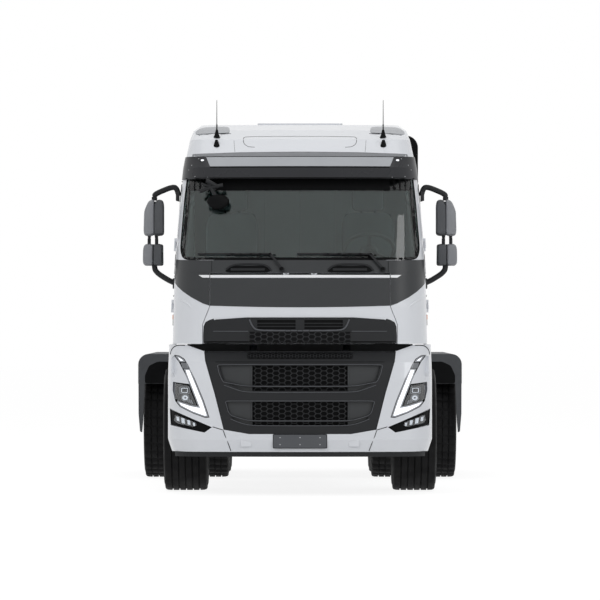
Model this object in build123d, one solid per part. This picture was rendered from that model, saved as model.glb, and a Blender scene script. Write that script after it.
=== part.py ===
from build123d import *
import math
import os
from collections import namedtuple

# Semi truck tractor unit: a cab-over tractor with one steered axle and two drive axles.
# Millimetres. The truck faces -Y, +X is its left (driver's) side, +Z is up, and it stands
# on z = 0. The origin is on the ground at the middle of its length and width.

# ---------------------------------------------------------------- driving dimensions
LENGTH = 6700                 # over bumper and tail lamps
FRONT_AXLE = 1380             # axles, measured back from the front face
MID_AXLE = 4580
REAR_AXLE = 5950
WHEEL_RADIUS = 536            # 385/65 R22.5 tyre, loaded
TYRE_WIDTH = 386
BEAD_RADIUS = 286
FRONT_TRACK_HALF = 1000       # centre of a front tyre from the centre line
TWIN_INNER = 867              # centres of the twin tyres
TWIN_OUTER = 1287
KINGPIN_X = 780
STEER_ARM = 180               # from a kingpin straight back to its tie rod pin

RAIL_OUTER = 425              # half width of the frame over its rails
RAIL_BOTTOM = 720
RAIL_TOP = 1020
RAIL_FLANGE = 90
RAIL_WEB = 10
RAIL_START = 310
RAIL_END = 6640

CAB_BOTTOM = 1296
CAB_BACK = 2050
CAB_WALL = 60
CAB_ROOF_SPLIT = 2800
DOOR_FRONT = 600
DOOR_REAR = 1580
DOOR_BOTTOM = 1302
DOOR_TOP = 2790
DOOR_GAP = 6
WINDOW_BOTTOM = 1930
WINDOW_TOP = 2700
GLASS = 6
TILT_Y = 200                  # cab tilt axis, behind the front face and above the ground
TILT_Z = 1020
TILT_CLEAR = 268              # nothing on the chassis ahead of that axis reaches past this

BUMPER_BOTTOM = 377
BUMPER_TOP = 1290
BUMPER_WALL = 40
BUMPER_END = 690
ARCH_RADIUS = 690             # clears the front tyre at full lock

GUARD_TOP = 1180              # rear mudguards
GUARD_OUTER = 1525
GUARD_INNER = 600
GUARD_SKIN = 20

FIFTH_WHEEL = 5000            # centre of the coupling
FIFTH_TOP = 1250
KINGPIN_HOLE = 25.6           # for a 50.8 mm trailer kingpin
PLATE_THICK = 38

PIN_GAP = 0.1                 # running clearance round a pin
SEAT_GAP = 0.3                # clearance of a piece on a curved seat

FRONT_Y = -LENGTH / 2
nodes = {}


# ---------------------------------------------------------------- helpers
def back(distance):
    """Y of a place this far behind the front face."""
    return FRONT_Y + distance


def block(x0, x1, d0, d1, z0, z1):
    """Box between two x, two distances behind the front face, and two heights."""
    centre = Pos((x0 + x1) / 2, back((d0 + d1) / 2), (z0 + z1) / 2)
    return centre * Box(abs(x1 - x0), abs(d1 - d0), abs(z1 - z0))


def bar_x(x0, x1, d, z, radius):
    """Round bar along X."""
    return Pos((x0 + x1) / 2, back(d), z) * Rot(0, 90, 0) * Cylinder(radius, abs(x1 - x0))


def bar_y(x, d0, d1, z, radius):
    """Round bar along Y."""
    return Pos(x, back((d0 + d1) / 2), z) * Rot(90, 0, 0) * Cylinder(radius, abs(d1 - d0))


def bar_z(x, d, z0, z1, radius):
    """Round bar along Z."""
    return Pos(x, back(d), (z0 + z1) / 2) * Cylinder(radius, abs(z1 - z0))


def strut(start, end, radius):
    """Round bar between two points, each x, distance behind the front face, and height."""
    a = Vector(start[0], back(start[1]), start[2])
    b = Vector(end[0], back(end[1]), end[2])
    return Solid.make_cylinder(radius, (b - a).length, Plane(a, z_dir=b - a))


def seen_from_front(points, d0, d1):
    """A front-view outline of (x, z) points, carried back from d0 to d1."""
    face = Face(Wire(Polyline([(x, back(d0), z) for x, z in points], close=True).edges()))
    return Solid.extrude(face, Vector(0, d1 - d0, 0))


def front_pair(half, d0, d1):
    """As seen_from_front, from the +X half of a symmetric outline, top to bottom."""
    return seen_from_front(half + [(-x, z) for x, z in reversed(half)], d0, d1)


def seen_from_side(points, x0, x1):
    """A side-view outline of (distance back, z) points, carried from x0 to x1."""
    face = Face(Wire(Polyline([(x0, back(d), z) for d, z in points], close=True).edges()))
    return Solid.extrude(face, Vector(x1 - x0, 0, 0))


def mirrored(shape):
    return mirror(shape, about=Plane.YZ)


def both_sides(shape):
    """A piece and its mirror image, as two solids of one node."""
    return solids_of([shape, mirrored(shape)])


def solids_of(shapes):
    found = []
    for shape in shapes:
        found += shape.solids()
    return found


def keep(name, shape):
    """Store a node: one solid, or a list of solids that don't touch."""
    solids = shape if isinstance(shape, list) else shape.solids()
    nodes[name] = Compound(children=solids) if len(solids) > 1 else solids[0]


# ---------------------------------------------------------------- plan outlines and lofts
Section = namedtuple("Section", "z front edge_x edge_y half_width side_y wall_front")

CAB_SECTIONS = [
    #       z    front edge_x edge_y half_width side_y wall_front
    Section(1296, 20, 800, 85, 1095, 430, 180),
    Section(1619, 15, 800, 80, 1088, 430, 180),
    Section(1888, 30, 800, 95, 1080, 440, 180),
    Section(2012, 60, 790, 130, 1072, 460, 90),
    Section(2400, 170, 765, 235, 1046, 520, 60),
    Section(2800, 300, 740, 360, 1003, 580, 60),
    Section(2906, 335, 730, 395, 983, 600, 60),
    Section(3060, 520, 700, 580, 955, 760, 60),
    Section(3150, 800, 670, 860, 930, 1000, 60),
    Section(3212, 1150, 640, 1200, 870, 1330, 60),
]
BUMPER_SECTIONS = [
    Section(377, 25, 800, 78, 1100, 390, 40),
    Section(480, 0, 800, 55, 1134, 390, 40),
    Section(1000, 5, 800, 62, 1134, 400, 40),
    Section(1140, 20, 800, 80, 1131, 410, 40),
    Section(1290, 130, 800, 180, 1125, 440, 40),
]
VISOR_SECTIONS = [
    Section(2709, 150, 770, 215, 1020, 560, 25),
    Section(2810, 195, 755, 262, 1010, 590, 25),
    Section(2906, 300, 735, 365, 992, 605, 25),
]
CORNER = 70                   # rear corners of the cab


def plan_wire(section, back_at, inset=0, wall_front=0, z=None):
    """Closed plan outline: front arc, corner arcs tangent to the sides, sides and back."""
    z = section.z if z is None else z
    half = section.half_width - inset
    edge_x = section.edge_x - inset / 2
    edge_y = section.edge_y + wall_front
    front = section.front + wall_front
    side_y = max(section.side_y, edge_y + 60)
    run = half - edge_x
    radius = (run ** 2 + (side_y - edge_y) ** 2) / (2 * run)
    centre_x = half - radius
    turn = math.atan2(edge_y - side_y, edge_x - centre_x) / 2
    middle = (centre_x + radius * math.cos(turn), side_y + radius * math.sin(turn))
    rear = back_at - inset
    bend = CORNER * (1 - math.sqrt(0.5))

    def at(x, d):
        return (x, back(d), z)

    edges = [
        ThreePointArc(at(-edge_x, edge_y), at(0, front), at(edge_x, edge_y)),
        ThreePointArc(at(edge_x, edge_y), at(*middle), at(half, side_y)),
        Line(at(half, side_y), at(half, rear - CORNER)),
        ThreePointArc(at(half, rear - CORNER), at(half - bend, rear - bend), at(half - CORNER, rear)),
        Line(at(half - CORNER, rear), at(CORNER - half, rear)),
        ThreePointArc(at(CORNER - half, rear), at(bend - half, rear - bend), at(-half, rear - CORNER)),
        Line(at(-half, rear - CORNER), at(-half, side_y)),
        ThreePointArc(at(-half, side_y), at(-middle[0], middle[1]), at(-edge_x, edge_y)),
    ]
    return Wire([edge.edge() for edge in edges])


def lofted(wires):
    return Solid.make_loft(wires, ruled=True)


def outer_and_inner(sections, back_at, wall, top_cap=0):
    """Outer body and the space inside it; the space is open below and, with no cap, above."""
    outer = lofted([plan_wire(s, back_at) for s in sections])
    inner = []
    for number, s in enumerate(sections):
        z = s.z
        if number == 0:
            z = s.z - 5
        elif number == len(sections) - 1:
            z = s.z - top_cap if top_cap else s.z + 5
        inner.append(plan_wire(s, back_at, wall, s.wall_front, z))
    return outer, lofted(inner)


def shifted(shape, distance):
    """The same shape further back."""
    return Pos(0, distance, 0) * shape


cab_outer, cab_space = outer_and_inner(CAB_SECTIONS, CAB_BACK, CAB_WALL, CAB_WALL)
cab_shell = cab_outer - cab_space
WIDE = 1400
HIGH = 3400
FAR = 7000

# ---------------------------------------------------------------- cab regions, front view
LID_TOP = 1884
LID_TOP_GAP = 16
LID_BOTTOM = 1304
LID_THICK = 35
LID_POCKET = 90
LID_GAP = 5
LID_HALF = [(766, LID_TOP), (766, 1619), (828, 1462), (828, LID_BOTTOM)]
WINDSHIELD_HALF = [(880, 2800), (958, 2760), (990, 2500), (1022, 2110), (1000, 2030), (860, 2012)]


windshield_cut = front_pair(WINDSHIELD_HALF, 0, 700)
windshield_region = front_pair([(x - 0.5, z + (0.5 if z < 2300 else -0.5)) for x, z in WINDSHIELD_HALF], 0, 700)
lid_cut = front_pair([(x + LID_GAP, z) for x, z in LID_HALF[:-1]] + [(828 + LID_GAP, CAB_BOTTOM - 20)], -50, 400)
lid_cut += block(-766 - LID_GAP, 766 + LID_GAP, -50, 400, 1800, LID_TOP + LID_TOP_GAP)

# ---------------------------------------------------------------- cab panels
HINGE_Z = [1620, 2150]        # door hinges
HINGE_STAND = 16              # their axis outside the door's skin
HINGE_D = DOOR_FRONT + 26
KNUCKLE = 10
PIN = 5


def cab_half_width(z):
    """Half width of the cab's side at a height."""
    for low, high in zip(CAB_SECTIONS, CAB_SECTIONS[1:]):
        if z <= high.z:
            share = (z - low.z) / (high.z - low.z)
            return low.half_width + share * (high.half_width - low.half_width)
    return CAB_SECTIONS[-1].half_width


hinge_low = (cab_half_width(HINGE_Z[0]) + HINGE_STAND, HINGE_Z[0])
hinge_high = (cab_half_width(HINGE_Z[1]) + HINGE_STAND, HINGE_Z[1])
HINGE_SLOPE = (hinge_high[0] - hinge_low[0]) / (hinge_high[1] - hinge_low[1])


def hinge_axis_x(z):
    return hinge_low[0] + HINGE_SLOPE * (z - hinge_low[1])


def hinge_bar(z0, z1, radius):
    """Bar along the left door's hinge axis between two heights."""
    return strut((hinge_axis_x(z0), HINGE_D, z0), (hinge_axis_x(z1), HINGE_D, z1), radius)


def door_pillar_hinges():
    """Pins and ears on the left pillar, one pair of ears for each hinge."""
    pieces = []
    for z in HINGE_Z:
        pieces.append(hinge_bar(z - 55, z + 55, PIN))
        for ear in (z - 55, z + 27):
            plate = block(cab_half_width(z) - 12, hinge_axis_x(z) + 4, DOOR_FRONT - 60, DOOR_FRONT - DOOR_GAP,
                          ear, ear + 28)
            reach = block(cab_half_width(z) + 4, hinge_axis_x(z) + 6, DOOR_FRONT - 20, HINGE_D, ear, ear + 28)
            pieces += [plate, reach, hinge_bar(ear, ear + 28, KNUCKLE)]
    return pieces


def make_cab_front():
    front = cab_shell & block(-WIDE, WIDE, -100, DOOR_FRONT - DOOR_GAP, CAB_BOTTOM - 10, CAB_ROOF_SPLIT)
    front -= windshield_cut
    pocket = (cab_outer & lid_cut) - shifted(cab_outer, LID_POCKET)
    front -= pocket
    for piece in door_pillar_hinges():
        front += piece
        front += mirrored(piece)
    for ear in lid_hinge_ears():
        front += ear
    return front


LID_AXIS_D = 36               # lid hinge axis, just inside the skin above the lid
LID_AXIS_Z = LID_TOP + 8
LID_HINGES_X = [-120, 120]


def lid_hinge_ears():
    ears = []
    for x in LID_HINGES_X:
        for side in (-1, 1):
            ears.append(block(x + side * 14, x + side * 24, LID_AXIS_D - 4.5, LID_AXIS_D + 8, LID_AXIS_Z - 4,
                              LID_TOP + LID_TOP_GAP + 6))
        ears.append(bar_x(x - 24, x + 24, LID_AXIS_D, LID_AXIS_Z, 3))
    return ears


def make_lid():
    region = front_pair(LID_HALF, -50, 400)
    panel = (cab_outer & region) - shifted(cab_outer, LID_THICK)
    for x in LID_HINGES_X:
        lug = block(x - 12, x + 12, LID_AXIS_D - 5, LID_AXIS_D + 5, LID_TOP - 30, LID_AXIS_Z)
        lug += bar_x(x - 12, x + 12, LID_AXIS_D, LID_AXIS_Z, 5)
        lug -= bar_x(x - 13, x + 13, LID_AXIS_D, LID_AXIS_Z, 3 + PIN_GAP)
        panel += lug
    return panel


# the dark grille set in the lid's lower half
LID_GRILLE_HALF = [(456, 1522), (720, 1504), (803, 1452), (818, 1318)]
LID_SLOTS = [(38, 365, 1421, 1500), (-365, -38, 1421, 1500)]
LID_GRILLE_DEEP = 14


def make_lid_grille():
    region = front_pair([(x - 2, z) for x, z in LID_GRILLE_HALF], -50, 400)
    plate = (shifted(cab_outer, -6) & region) - shifted(cab_outer, LID_GRILLE_DEEP - 6)
    for x0, x1, z0, z1 in LID_SLOTS:
        plate -= block(x0, x1, -50, 60, z0, z1)
    for slat in range(2):
        z = 1441 + 27 * slat
        bar = (shifted(cab_outer, 2) & block(-366, 366, -50, 100, z, z + 8)) - shifted(cab_outer, 8)
        plate += bar
    return plate


lid = make_lid()
lid_grille = make_lid_grille()
lid -= shifted(cab_outer & front_pair(LID_GRILLE_HALF, -50, 400), 0) - shifted(cab_outer, 8)
keep("cab_front", make_cab_front())
keep("lid_panel", lid)
keep("lid_grille", lid_grille - lid)

windshield = (cab_outer & windshield_region) - shifted(cab_outer, 20)
keep("windshield", windshield)

# ---------------------------------------------------------------- floor, sides, back and roof
TUNNEL_HALF = 450
TUNNEL_TOP = 1620
TUNNEL_WALL = 30
TUNNEL_FRONT = 420
FLOOR_THICK = 50
ARM_X = 400                   # cab tilt arms
ARM_HALF = 25
ARM_FOOT = 560
TILT_PIN = 25


def tilt_arm(side):
    """Arm from the tilt pin back and up to the floor."""
    outline = [(TILT_Y - 36, TILT_Z - 30), (TILT_Y - 36, TILT_Z + 20), (TILT_Y, TILT_Z + 38),
               (ARM_FOOT - 40, CAB_BOTTOM), (ARM_FOOT + 60, CAB_BOTTOM), (TILT_Y + 50, TILT_Z - 30)]
    arm = seen_from_side(outline, side * ARM_X - ARM_HALF, side * ARM_X + ARM_HALF)
    return arm - bar_x(side * ARM_X - 60, side * ARM_X + 60, TILT_Y, TILT_Z, TILT_PIN + PIN_GAP)


def make_floor():
    top = CAB_BOTTOM + FLOOR_THICK
    floor = cab_space & block(-WIDE, WIDE, 0, CAB_BACK, CAB_BOTTOM, top)
    inner_door = cab_half_width(top) - CAB_WALL - DOOR_GAP
    for side in (-1, 1):
        floor -= block(side * inner_door, side * WIDE, DOOR_FRONT - DOOR_GAP - 2, DOOR_REAR + DOOR_GAP + 2,
                       CAB_BOTTOM - 10, top + 10)
    floor += block(-TUNNEL_HALF, TUNNEL_HALF, TUNNEL_FRONT, CAB_BACK - CAB_WALL, CAB_BOTTOM, TUNNEL_TOP)
    inside = TUNNEL_HALF - TUNNEL_WALL
    floor -= block(-inside, inside, TUNNEL_FRONT + TUNNEL_WALL, CAB_BACK - CAB_WALL, CAB_BOTTOM - 10,
                   TUNNEL_TOP - TUNNEL_WALL)
    for side in (-1, 1):
        floor += tilt_arm(side)
    return floor


keep("cab_floor", make_floor())

rear_zone = cab_shell & block(-WIDE, WIDE, DOOR_REAR + DOOR_GAP, CAB_BACK - CAB_WALL, CAB_BOTTOM - 10,
                              CAB_ROOF_SPLIT)
keep("cab_side_left", rear_zone & block(0, WIDE, 0, FAR, 0, HIGH))
keep("cab_side_right", rear_zone & block(-WIDE, 0, 0, FAR, 0, HIGH))
keep("cab_back", cab_shell & block(-WIDE, WIDE, CAB_BACK - CAB_WALL, CAB_BACK + 10, CAB_BOTTOM - 10, CAB_ROOF_SPLIT))

HATCH = (-380, 380, 1250, 1750)
HATCH_GAP = 6
HATCH_TOP = 3230
ROOF_TOP = CAB_SECTIONS[-1].z


def make_roof():
    roof = cab_shell & block(-WIDE, WIDE, -100, CAB_BACK + 10, CAB_ROOF_SPLIT, HIGH)
    x0, x1, d0, d1 = HATCH
    roof -= block(x0, x1, d0, d1, ROOF_TOP - 200, HIGH)
    for x in (x0 + 80, x1 - 80):
        for side in (-1, 1):
            roof += block(x + side * 16, x + side * 28, d1 + 4, d1 + 34, ROOF_TOP - 5, ROOF_TOP + 26)
        roof += bar_x(x - 28, x + 28, d1 + 20, ROOF_TOP + 14, 4)
    return roof


def make_hatch():
    x0, x1, d0, d1 = HATCH
    gap = HATCH_GAP
    cover = block(x0 + gap, x1 - gap, d0 + gap, d1 - gap, ROOF_TOP - 40, HATCH_TOP)
    cover = fillet(cover.edges().filter_by(Axis.Z), 40)
    for x in (x0 + 80, x1 - 80):
        arm = block(x - 13, x + 13, d1 - 60, d1 + 20, ROOF_TOP + 4, ROOF_TOP + 18)
        arm += bar_x(x - 13, x + 13, d1 + 20, ROOF_TOP + 14, 9)
        arm -= bar_x(x - 14, x + 14, d1 + 20, ROOF_TOP + 14, 4 + PIN_GAP)
        cover += arm
    return cover


keep("cab_roof", make_roof())
keep("roof_hatch", make_hatch())

# ---------------------------------------------------------------- doors
DOOR_OUTLINE = [(DOOR_FRONT, DOOR_BOTTOM), (DOOR_FRONT, DOOR_TOP), (DOOR_REAR, DOOR_TOP), (DOOR_REAR, DOOR_BOTTOM)]
WINDOW_OUTLINE = [(DOOR_FRONT + 90, WINDOW_BOTTOM - 60), (DOOR_FRONT + 90, WINDOW_TOP), (DOOR_REAR - 80, WINDOW_TOP),
                  (DOOR_REAR - 80, WINDOW_BOTTOM), (DOOR_FRONT + 420, WINDOW_BOTTOM)]


def make_door():
    """Left door: the whole wall with its window cut, and its hinge lugs."""
    door = cab_shell & seen_from_side(DOOR_OUTLINE, 700, WIDE)
    door -= seen_from_side(WINDOW_OUTLINE, 700, WIDE)
    for z in HINGE_Z:
        lug = hinge_bar(z - 25, z + 25, KNUCKLE)
        lug += block(cab_half_width(z) - 8, hinge_axis_x(z) + 4, HINGE_D, HINGE_D + 40, z - 24, z + 24)
        lug -= hinge_bar(z - 56, z + 56, PIN + PIN_GAP)
        door += lug
    return door


def make_door_glass():
    inner = 0.5
    low = WINDOW_BOTTOM + inner
    outline = [(DOOR_FRONT + 90 + inner, WINDOW_BOTTOM - 60 + inner), (DOOR_FRONT + 90 + inner, WINDOW_TOP - inner),
               (DOOR_REAR - 80 - inner, WINDOW_TOP - inner), (DOOR_REAR - 80 - inner, low),
               (DOOR_FRONT + 420, low)]
    pane = cab_outer & seen_from_side(outline, 700, WIDE)
    pane = Pos(-12, 0, 0) * pane
    return pane - Pos(-12 - GLASS, 0, 0) * cab_outer


door = make_door()
door_glass = make_door_glass()
keep("door_left", door)
keep("door_right", mirrored(door))
keep("door_glass_left", door_glass)
keep("door_glass_right", mirrored(door_glass))

# ---------------------------------------------------------------- mirrors, carried by the doors
MIRROR_D = 640                # middle of the mirror arms
MIRROR_ARM = 16
MAIN_MIRROR = (1178, 1268, 2220, 2550)
WIDE_MIRROR = (1192, 1272, 1965, 2160)
MIRROR_BACKING = 1365


def make_mirrors():
    """Left mirror cluster: two housings on a bracket plate, with two arms to the door."""
    x0, x1, z0, z1 = MAIN_MIRROR
    cluster = seen_from_front([(x0, z0 + 20), (x0, z1 - 10), (x0 + 15, z1), (x1, z1), (x1, z0), (x0 + 15, z0)],
                              MIRROR_D - 34, MIRROR_D + 110)
    cluster += seen_from_front([(x1, z0), (x1, z1), (x1 + 40, z1 + 2), (MIRROR_BACKING - 25, z1 - 30),
                                (MIRROR_BACKING - 8, z1 - 90), (MIRROR_BACKING - 8, z0 + 20),
                                (MIRROR_BACKING - 30, z0)], MIRROR_D - 34, MIRROR_D + 130)
    x0, x1, low0, low1 = WIDE_MIRROR
    cluster += seen_from_front([(x0, low0 + 10), (x0, low1 - 10), (x0 + 12, low1), (x1, low1), (x1, low0),
                                (x0 + 12, low0)], MIRROR_D - 34, MIRROR_D + 100)
    cluster += seen_from_front([(x1, low0), (x1, low1), (MIRROR_BACKING - 10, low1), (MIRROR_BACKING, low1 - 30),
                                (MIRROR_BACKING - 2, low0 + 30), (MIRROR_BACKING - 30, low0)],
                               MIRROR_D - 34, MIRROR_D + 120)
    for x in (1290, 1325):
        cluster += bar_z(x, MIRROR_D, low1 - 10, MAIN_MIRROR[2] + 10, MIRROR_ARM)
    upper = [(cab_half_width(2600) - 12, 2590), (1085, 2655), (1300, 2600), (1310, 2520)]
    lower = [(cab_half_width(1830) - 12, 1820), (1160, 1835), (1305, 1900), (1305, 1980)]
    for path in (upper, lower):
        for (xa, za), (xb, zb) in zip(path, path[1:]):
            cluster += strut((xa, MIRROR_D, za), (xb, MIRROR_D, zb), MIRROR_ARM)
        for x, z in path[1:-1]:
            cluster += Pos(x, back(MIRROR_D), z) * Sphere(MIRROR_ARM)
    cluster += block(cab_half_width(1830) - 20, cab_half_width(1830) + 30, MIRROR_D - 30, MIRROR_D + 60, 1770, 1885)
    cluster += block(cab_half_width(2600) - 25, cab_half_width(2600) + 22, MIRROR_D - 25, MIRROR_D + 50, 2560, 2625)
    return cluster - cab_outer


mirrors = make_mirrors()
keep("mirrors_left", mirrors)
keep("mirrors_right", mirrored(mirrors))

# ---------------------------------------------------------------- sun visor
VISOR_LIP = 28


def make_visor():
    outer, inner = outer_and_inner(VISOR_SECTIONS, CAB_BACK + 100, 25)
    visor = outer - inner
    visor += outer & block(-WIDE, WIDE, 0, 900, 2906 - VISOR_LIP, 2906)
    visor &= block(-WIDE, WIDE, 0, DOOR_FRONT - DOOR_GAP, 2700, 2906)
    body = lofted([plan_wire(s, CAB_BACK) for s in CAB_SECTIONS])
    return visor - shifted(body, -SEAT_GAP) - body


keep("sun_visor", make_visor())

# ---------------------------------------------------------------- cab interior
SEAT_X = 600
WHEEL_X = 600


def make_seat(x):
    base = block(x - 140, x + 140, 900, 1260, CAB_BOTTOM + FLOOR_THICK, 1700)
    cushion = fillet(block(x - 260, x + 260, 860, 1360, 1700, 1830).edges(), 40)
    rest = Pos(x, back(1390), 2130) * Rot(-10, 0, 0) * Box(500, 120, 700)
    rest = fillet(rest.edges(), 45)
    head = Pos(x, back(1440), 2560) * Rot(-10, 0, 0) * Box(300, 90, 220)
    head = fillet(head.edges(), 35)
    return base + cushion + rest + head


def make_dashboard():
    top = cab_space & seen_from_side([(150, 1640), (150, 1960), (430, 1960), (560, 1860), (560, 1700), (480, 1640)],
                                     -1000, 1000)
    top += block(-430, 430, 450, 560, TUNNEL_TOP, 1800)
    return top


keep("seats", solids_of([make_seat(-SEAT_X), make_seat(SEAT_X)]))
keep("bunk", cab_space & block(-WIDE, WIDE, DOOR_REAR + 30, CAB_BACK, TUNNEL_TOP + SEAT_GAP, 1860))

STEER_TILT = 40               # steering wheel's axis, back from upright
STEER_CENTRE = Vector(WHEEL_X, back(800), 2105)
STEER_AXIS = Vector(0, math.sin(math.radians(STEER_TILT)), math.cos(math.radians(STEER_TILT)))
RIM_RADIUS = 215
RIM_GRIP = 17
COLUMN = 30


def make_steering_wheel():
    seat = Plane(STEER_CENTRE, x_dir=(1, 0, 0), z_dir=STEER_AXIS)
    wheel = seat * Torus(RIM_RADIUS, RIM_GRIP)
    hub = seat * Pos(0, 0, -20) * Cylinder(75, 50)
    hub -= seat * Pos(0, 0, -40) * Cylinder(12 + PIN_GAP, 50)
    for angle in (0, 120, 240):
        spoke = seat * Rot(0, 0, angle + 30) * Pos(RIM_RADIUS / 2 + 30, 0, -10) * Box(RIM_RADIUS - 60, 34, 14)
        wheel += spoke
    return wheel + hub


def make_column():
    seat = Plane(STEER_CENTRE, x_dir=(1, 0, 0), z_dir=STEER_AXIS)
    column = seat * Pos(0, 0, -46 - 150) * Cylinder(COLUMN + 15, 300)
    column += seat * Pos(0, 0, -40) * Cylinder(12, 40)
    return column


keep("steering_wheel", make_steering_wheel())
keep("dashboard", make_dashboard() + make_column())


# ---------------------------------------------------------------- wipers, aerials and close-view mirror
WIPERS = [(-153, -253, -874), (712, 597, -23)]    # x of the pivot, of the arm's end and of the blade's far end
WIPER_PIVOT_Z = 1934
BLADE_Z = 2065
BLADE_TALL = 14
BLADE_PROUD = 16
ARM_PROUD = 34
ARM_HALF_WIDE = 13


def make_wipers():
    """Two arms on their pivots, each with a blade lying along the foot of the windshield."""
    on_glass = shifted(cab_outer, -BLADE_PROUD) - shifted(cab_outer, -SEAT_GAP)
    above = shifted(cab_outer, -ARM_PROUD) - shifted(cab_outer, 2 - BLADE_PROUD)
    pieces = []
    for pivot, end, far in WIPERS:
        wiper = on_glass & block(far, end, -50, 700, BLADE_Z - BLADE_TALL / 2, BLADE_Z + BLADE_TALL / 2)
        arm = [(pivot - ARM_HALF_WIDE, WIPER_PIVOT_Z), (end - ARM_HALF_WIDE, BLADE_Z), (end, BLADE_Z + ARM_HALF_WIDE),
               (end + ARM_HALF_WIDE, BLADE_Z), (pivot + ARM_HALF_WIDE, WIPER_PIVOT_Z)]
        wiper += above & seen_from_front(arm, -50, 700)
        wiper += above & block((far + end) / 2, end, -50, 700, BLADE_Z - 5, BLADE_Z + 5)
        boss = shifted(cab_outer, -ARM_PROUD) - shifted(cab_outer, -SEAT_GAP)
        wiper += boss & bar_y(pivot, -50, 400, WIPER_PIVOT_Z, 20)
        pieces.append(wiper)
    return solids_of(pieces)


keep("wipers", make_wipers())

AERIAL_X = 720
AERIAL_D = 640
HORN_D = 520


def make_aerials():
    """An aerial on a rubber foot at each side, and a small roof cone ahead of it."""
    pieces = []
    for x in (-AERIAL_X, AERIAL_X):
        foot = Pos(x, back(AERIAL_D), 3100) * Cone(36, 9, 90)
        pieces.append((foot + bar_z(x, AERIAL_D, 3140, 3405, 4)) - cab_outer)
        pieces.append(Pos(x, back(HORN_D), 3022) * Cone(32, 12, 66) - cab_outer)
    return solids_of(pieces)


def make_front_mirror():
    """Close-view mirror hung from the right end of the visor's underside."""
    arm = block(-760, -720, 150, 215, 2600, 2740)
    cup = Pos(-697, back(140), 2510) * Rot(90, 0, 0) * Cylinder(90, 60)
    neck = strut((-740, 170, 2610), (-700, 140, 2530), 16)
    return (arm + neck + cup) - nodes["sun_visor"]


keep("cab_fittings", make_aerials() + [make_front_mirror()])

INTAKE_X = 1005


INTAKE_BEND = 110


def make_air_intake():
    """Duct up the cab's back; its head rounds over the roof's corner."""
    inner = INTAKE_X - 120
    outer = INTAKE_X + 55
    duct = block(inner, outer, CAB_BACK, CAB_BACK + 130, 1400, 2880)
    head = block(inner, outer, CAB_BACK + 10, CAB_BACK + 200, 2870, 3158)
    bend = head.edges().filter_by(Axis.Y).sort_by(Axis.Z)[-2:].sort_by(Axis.X)[-1]
    return duct + fillet(bend, INTAKE_BEND)


keep("air_intake", make_air_intake())

# ---------------------------------------------------------------- bumper, lower grille and lamps
bumper_outer, bumper_space = outer_and_inner(BUMPER_SECTIONS, 2000, BUMPER_WALL)
bumper_shell = bumper_outer - bumper_space
GRILLE_HALF = [(819, 1231), (809, 1150), (727, 867), (651, 566), (435, 529)]
UPPER_OPENING = [(690, 1112), (652, 975), (478, 896)]
LOWER_OPENING = [(630, 804), (604, 700), (560, 640), (420, 597)]
LAMP_LEFT = [(1076, 1202), (1032, 1196), (988, 1169), (961, 1128), (896, 998), (819, 813), (771, 669), (809, 666),
             (917, 705), (1026, 758), (1067, 808), (1090, 900)]
FOG_LEFT = [(1116, 742), (749, 587), (814, 541), (1107, 600)]
GRILLE_SET_BACK = 8
SLAT_TALL = 14
SLATS = [
    # half width of the level part, half width over the ends, underside, rise of the ends
    (463, 668, 928, 48),
    (422, 615, 634, 48),
]
LAMP_DEEP = 55


def tilt_envelope():
    """Space ahead of the tilt axis that the tilting cab sweeps."""
    zone = block(-WIDE, WIDE, -100, TILT_Y, TILT_Z, HIGH)
    return zone - bar_x(-WIDE - 10, WIDE + 10, TILT_Y, TILT_Z, TILT_CLEAR)


STEP_LEVELS = [430, 760, 1060]
STEP_TREAD = 30


def make_bumper():
    bumper = bumper_shell & block(-WIDE, WIDE, -10, BUMPER_END, BUMPER_BOTTOM, BUMPER_TOP)
    bumper -= tilt_envelope()
    bumper -= front_pair([(820, 1400), (820, 1238), (800, 1236)], -50, 300)
    bumper -= seen_from_front([(820, 1400), (820, 1234), (970, 1287), (970, 1400)], -50, 300)
    bumper -= seen_from_front([(-820, 1400), (-820, 1234), (-970, 1287), (-970, 1400)], -50, 300)
    bumper -= front_pair(GRILLE_HALF, -50, 400)
    for outline in (LAMP_LEFT, FOG_LEFT):
        pocket = seen_from_front(outline, -50, 420) & bumper_outer
        pocket -= shifted(bumper_outer, LAMP_DEEP)
        bumper -= pocket
        bumper -= mirrored(pocket)
    for z in STEP_LEVELS:
        recess = block(900, WIDE, 430, 640, z + STEP_TREAD, z + 250)
        if z < 1000:
            bumper -= recess
            bumper -= mirrored(recess)
    bumper -= bar_x(-WIDE, WIDE, FRONT_AXLE, WHEEL_RADIUS, ARCH_RADIUS)
    return bumper


keep("bumper", make_bumper())


def make_lower_grille():
    skin = shifted(bumper_outer, GRILLE_SET_BACK) & front_pair([(x - 0.5, z) for x, z in GRILLE_HALF], -50, 400)
    panel = skin - shifted(bumper_outer, GRILLE_SET_BACK + 26)
    panel -= tilt_envelope()
    panel -= front_pair(UPPER_OPENING, -50, 400)
    panel -= front_pair(LOWER_OPENING, -50, 400)
    band = shifted(bumper_outer, GRILLE_SET_BACK + 3) - shifted(bumper_outer, GRILLE_SET_BACK + 20)
    for flat, end, low, rise in SLATS:
        top = low + SLAT_TALL
        bar = [(-end, top + rise), (-flat, top), (flat, top), (end, top + rise), (end, low + rise), (flat, low),
               (-flat, low), (-end, low + rise)]
        panel += band & seen_from_front(bar, -50, 400)
    return panel


keep("lower_grille", make_lower_grille())


def make_front_lamps():
    lamps = []
    for outline in (LAMP_LEFT, FOG_LEFT):
        region = seen_from_front(outline, -50, 420)
        unit = (shifted(bumper_outer, 4) & region) - shifted(bumper_outer, LAMP_DEEP)
        unit -= nodes["bumper"]
        lamps += both_sides(unit)
    return lamps


keep("front_lamps", make_front_lamps())


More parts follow.
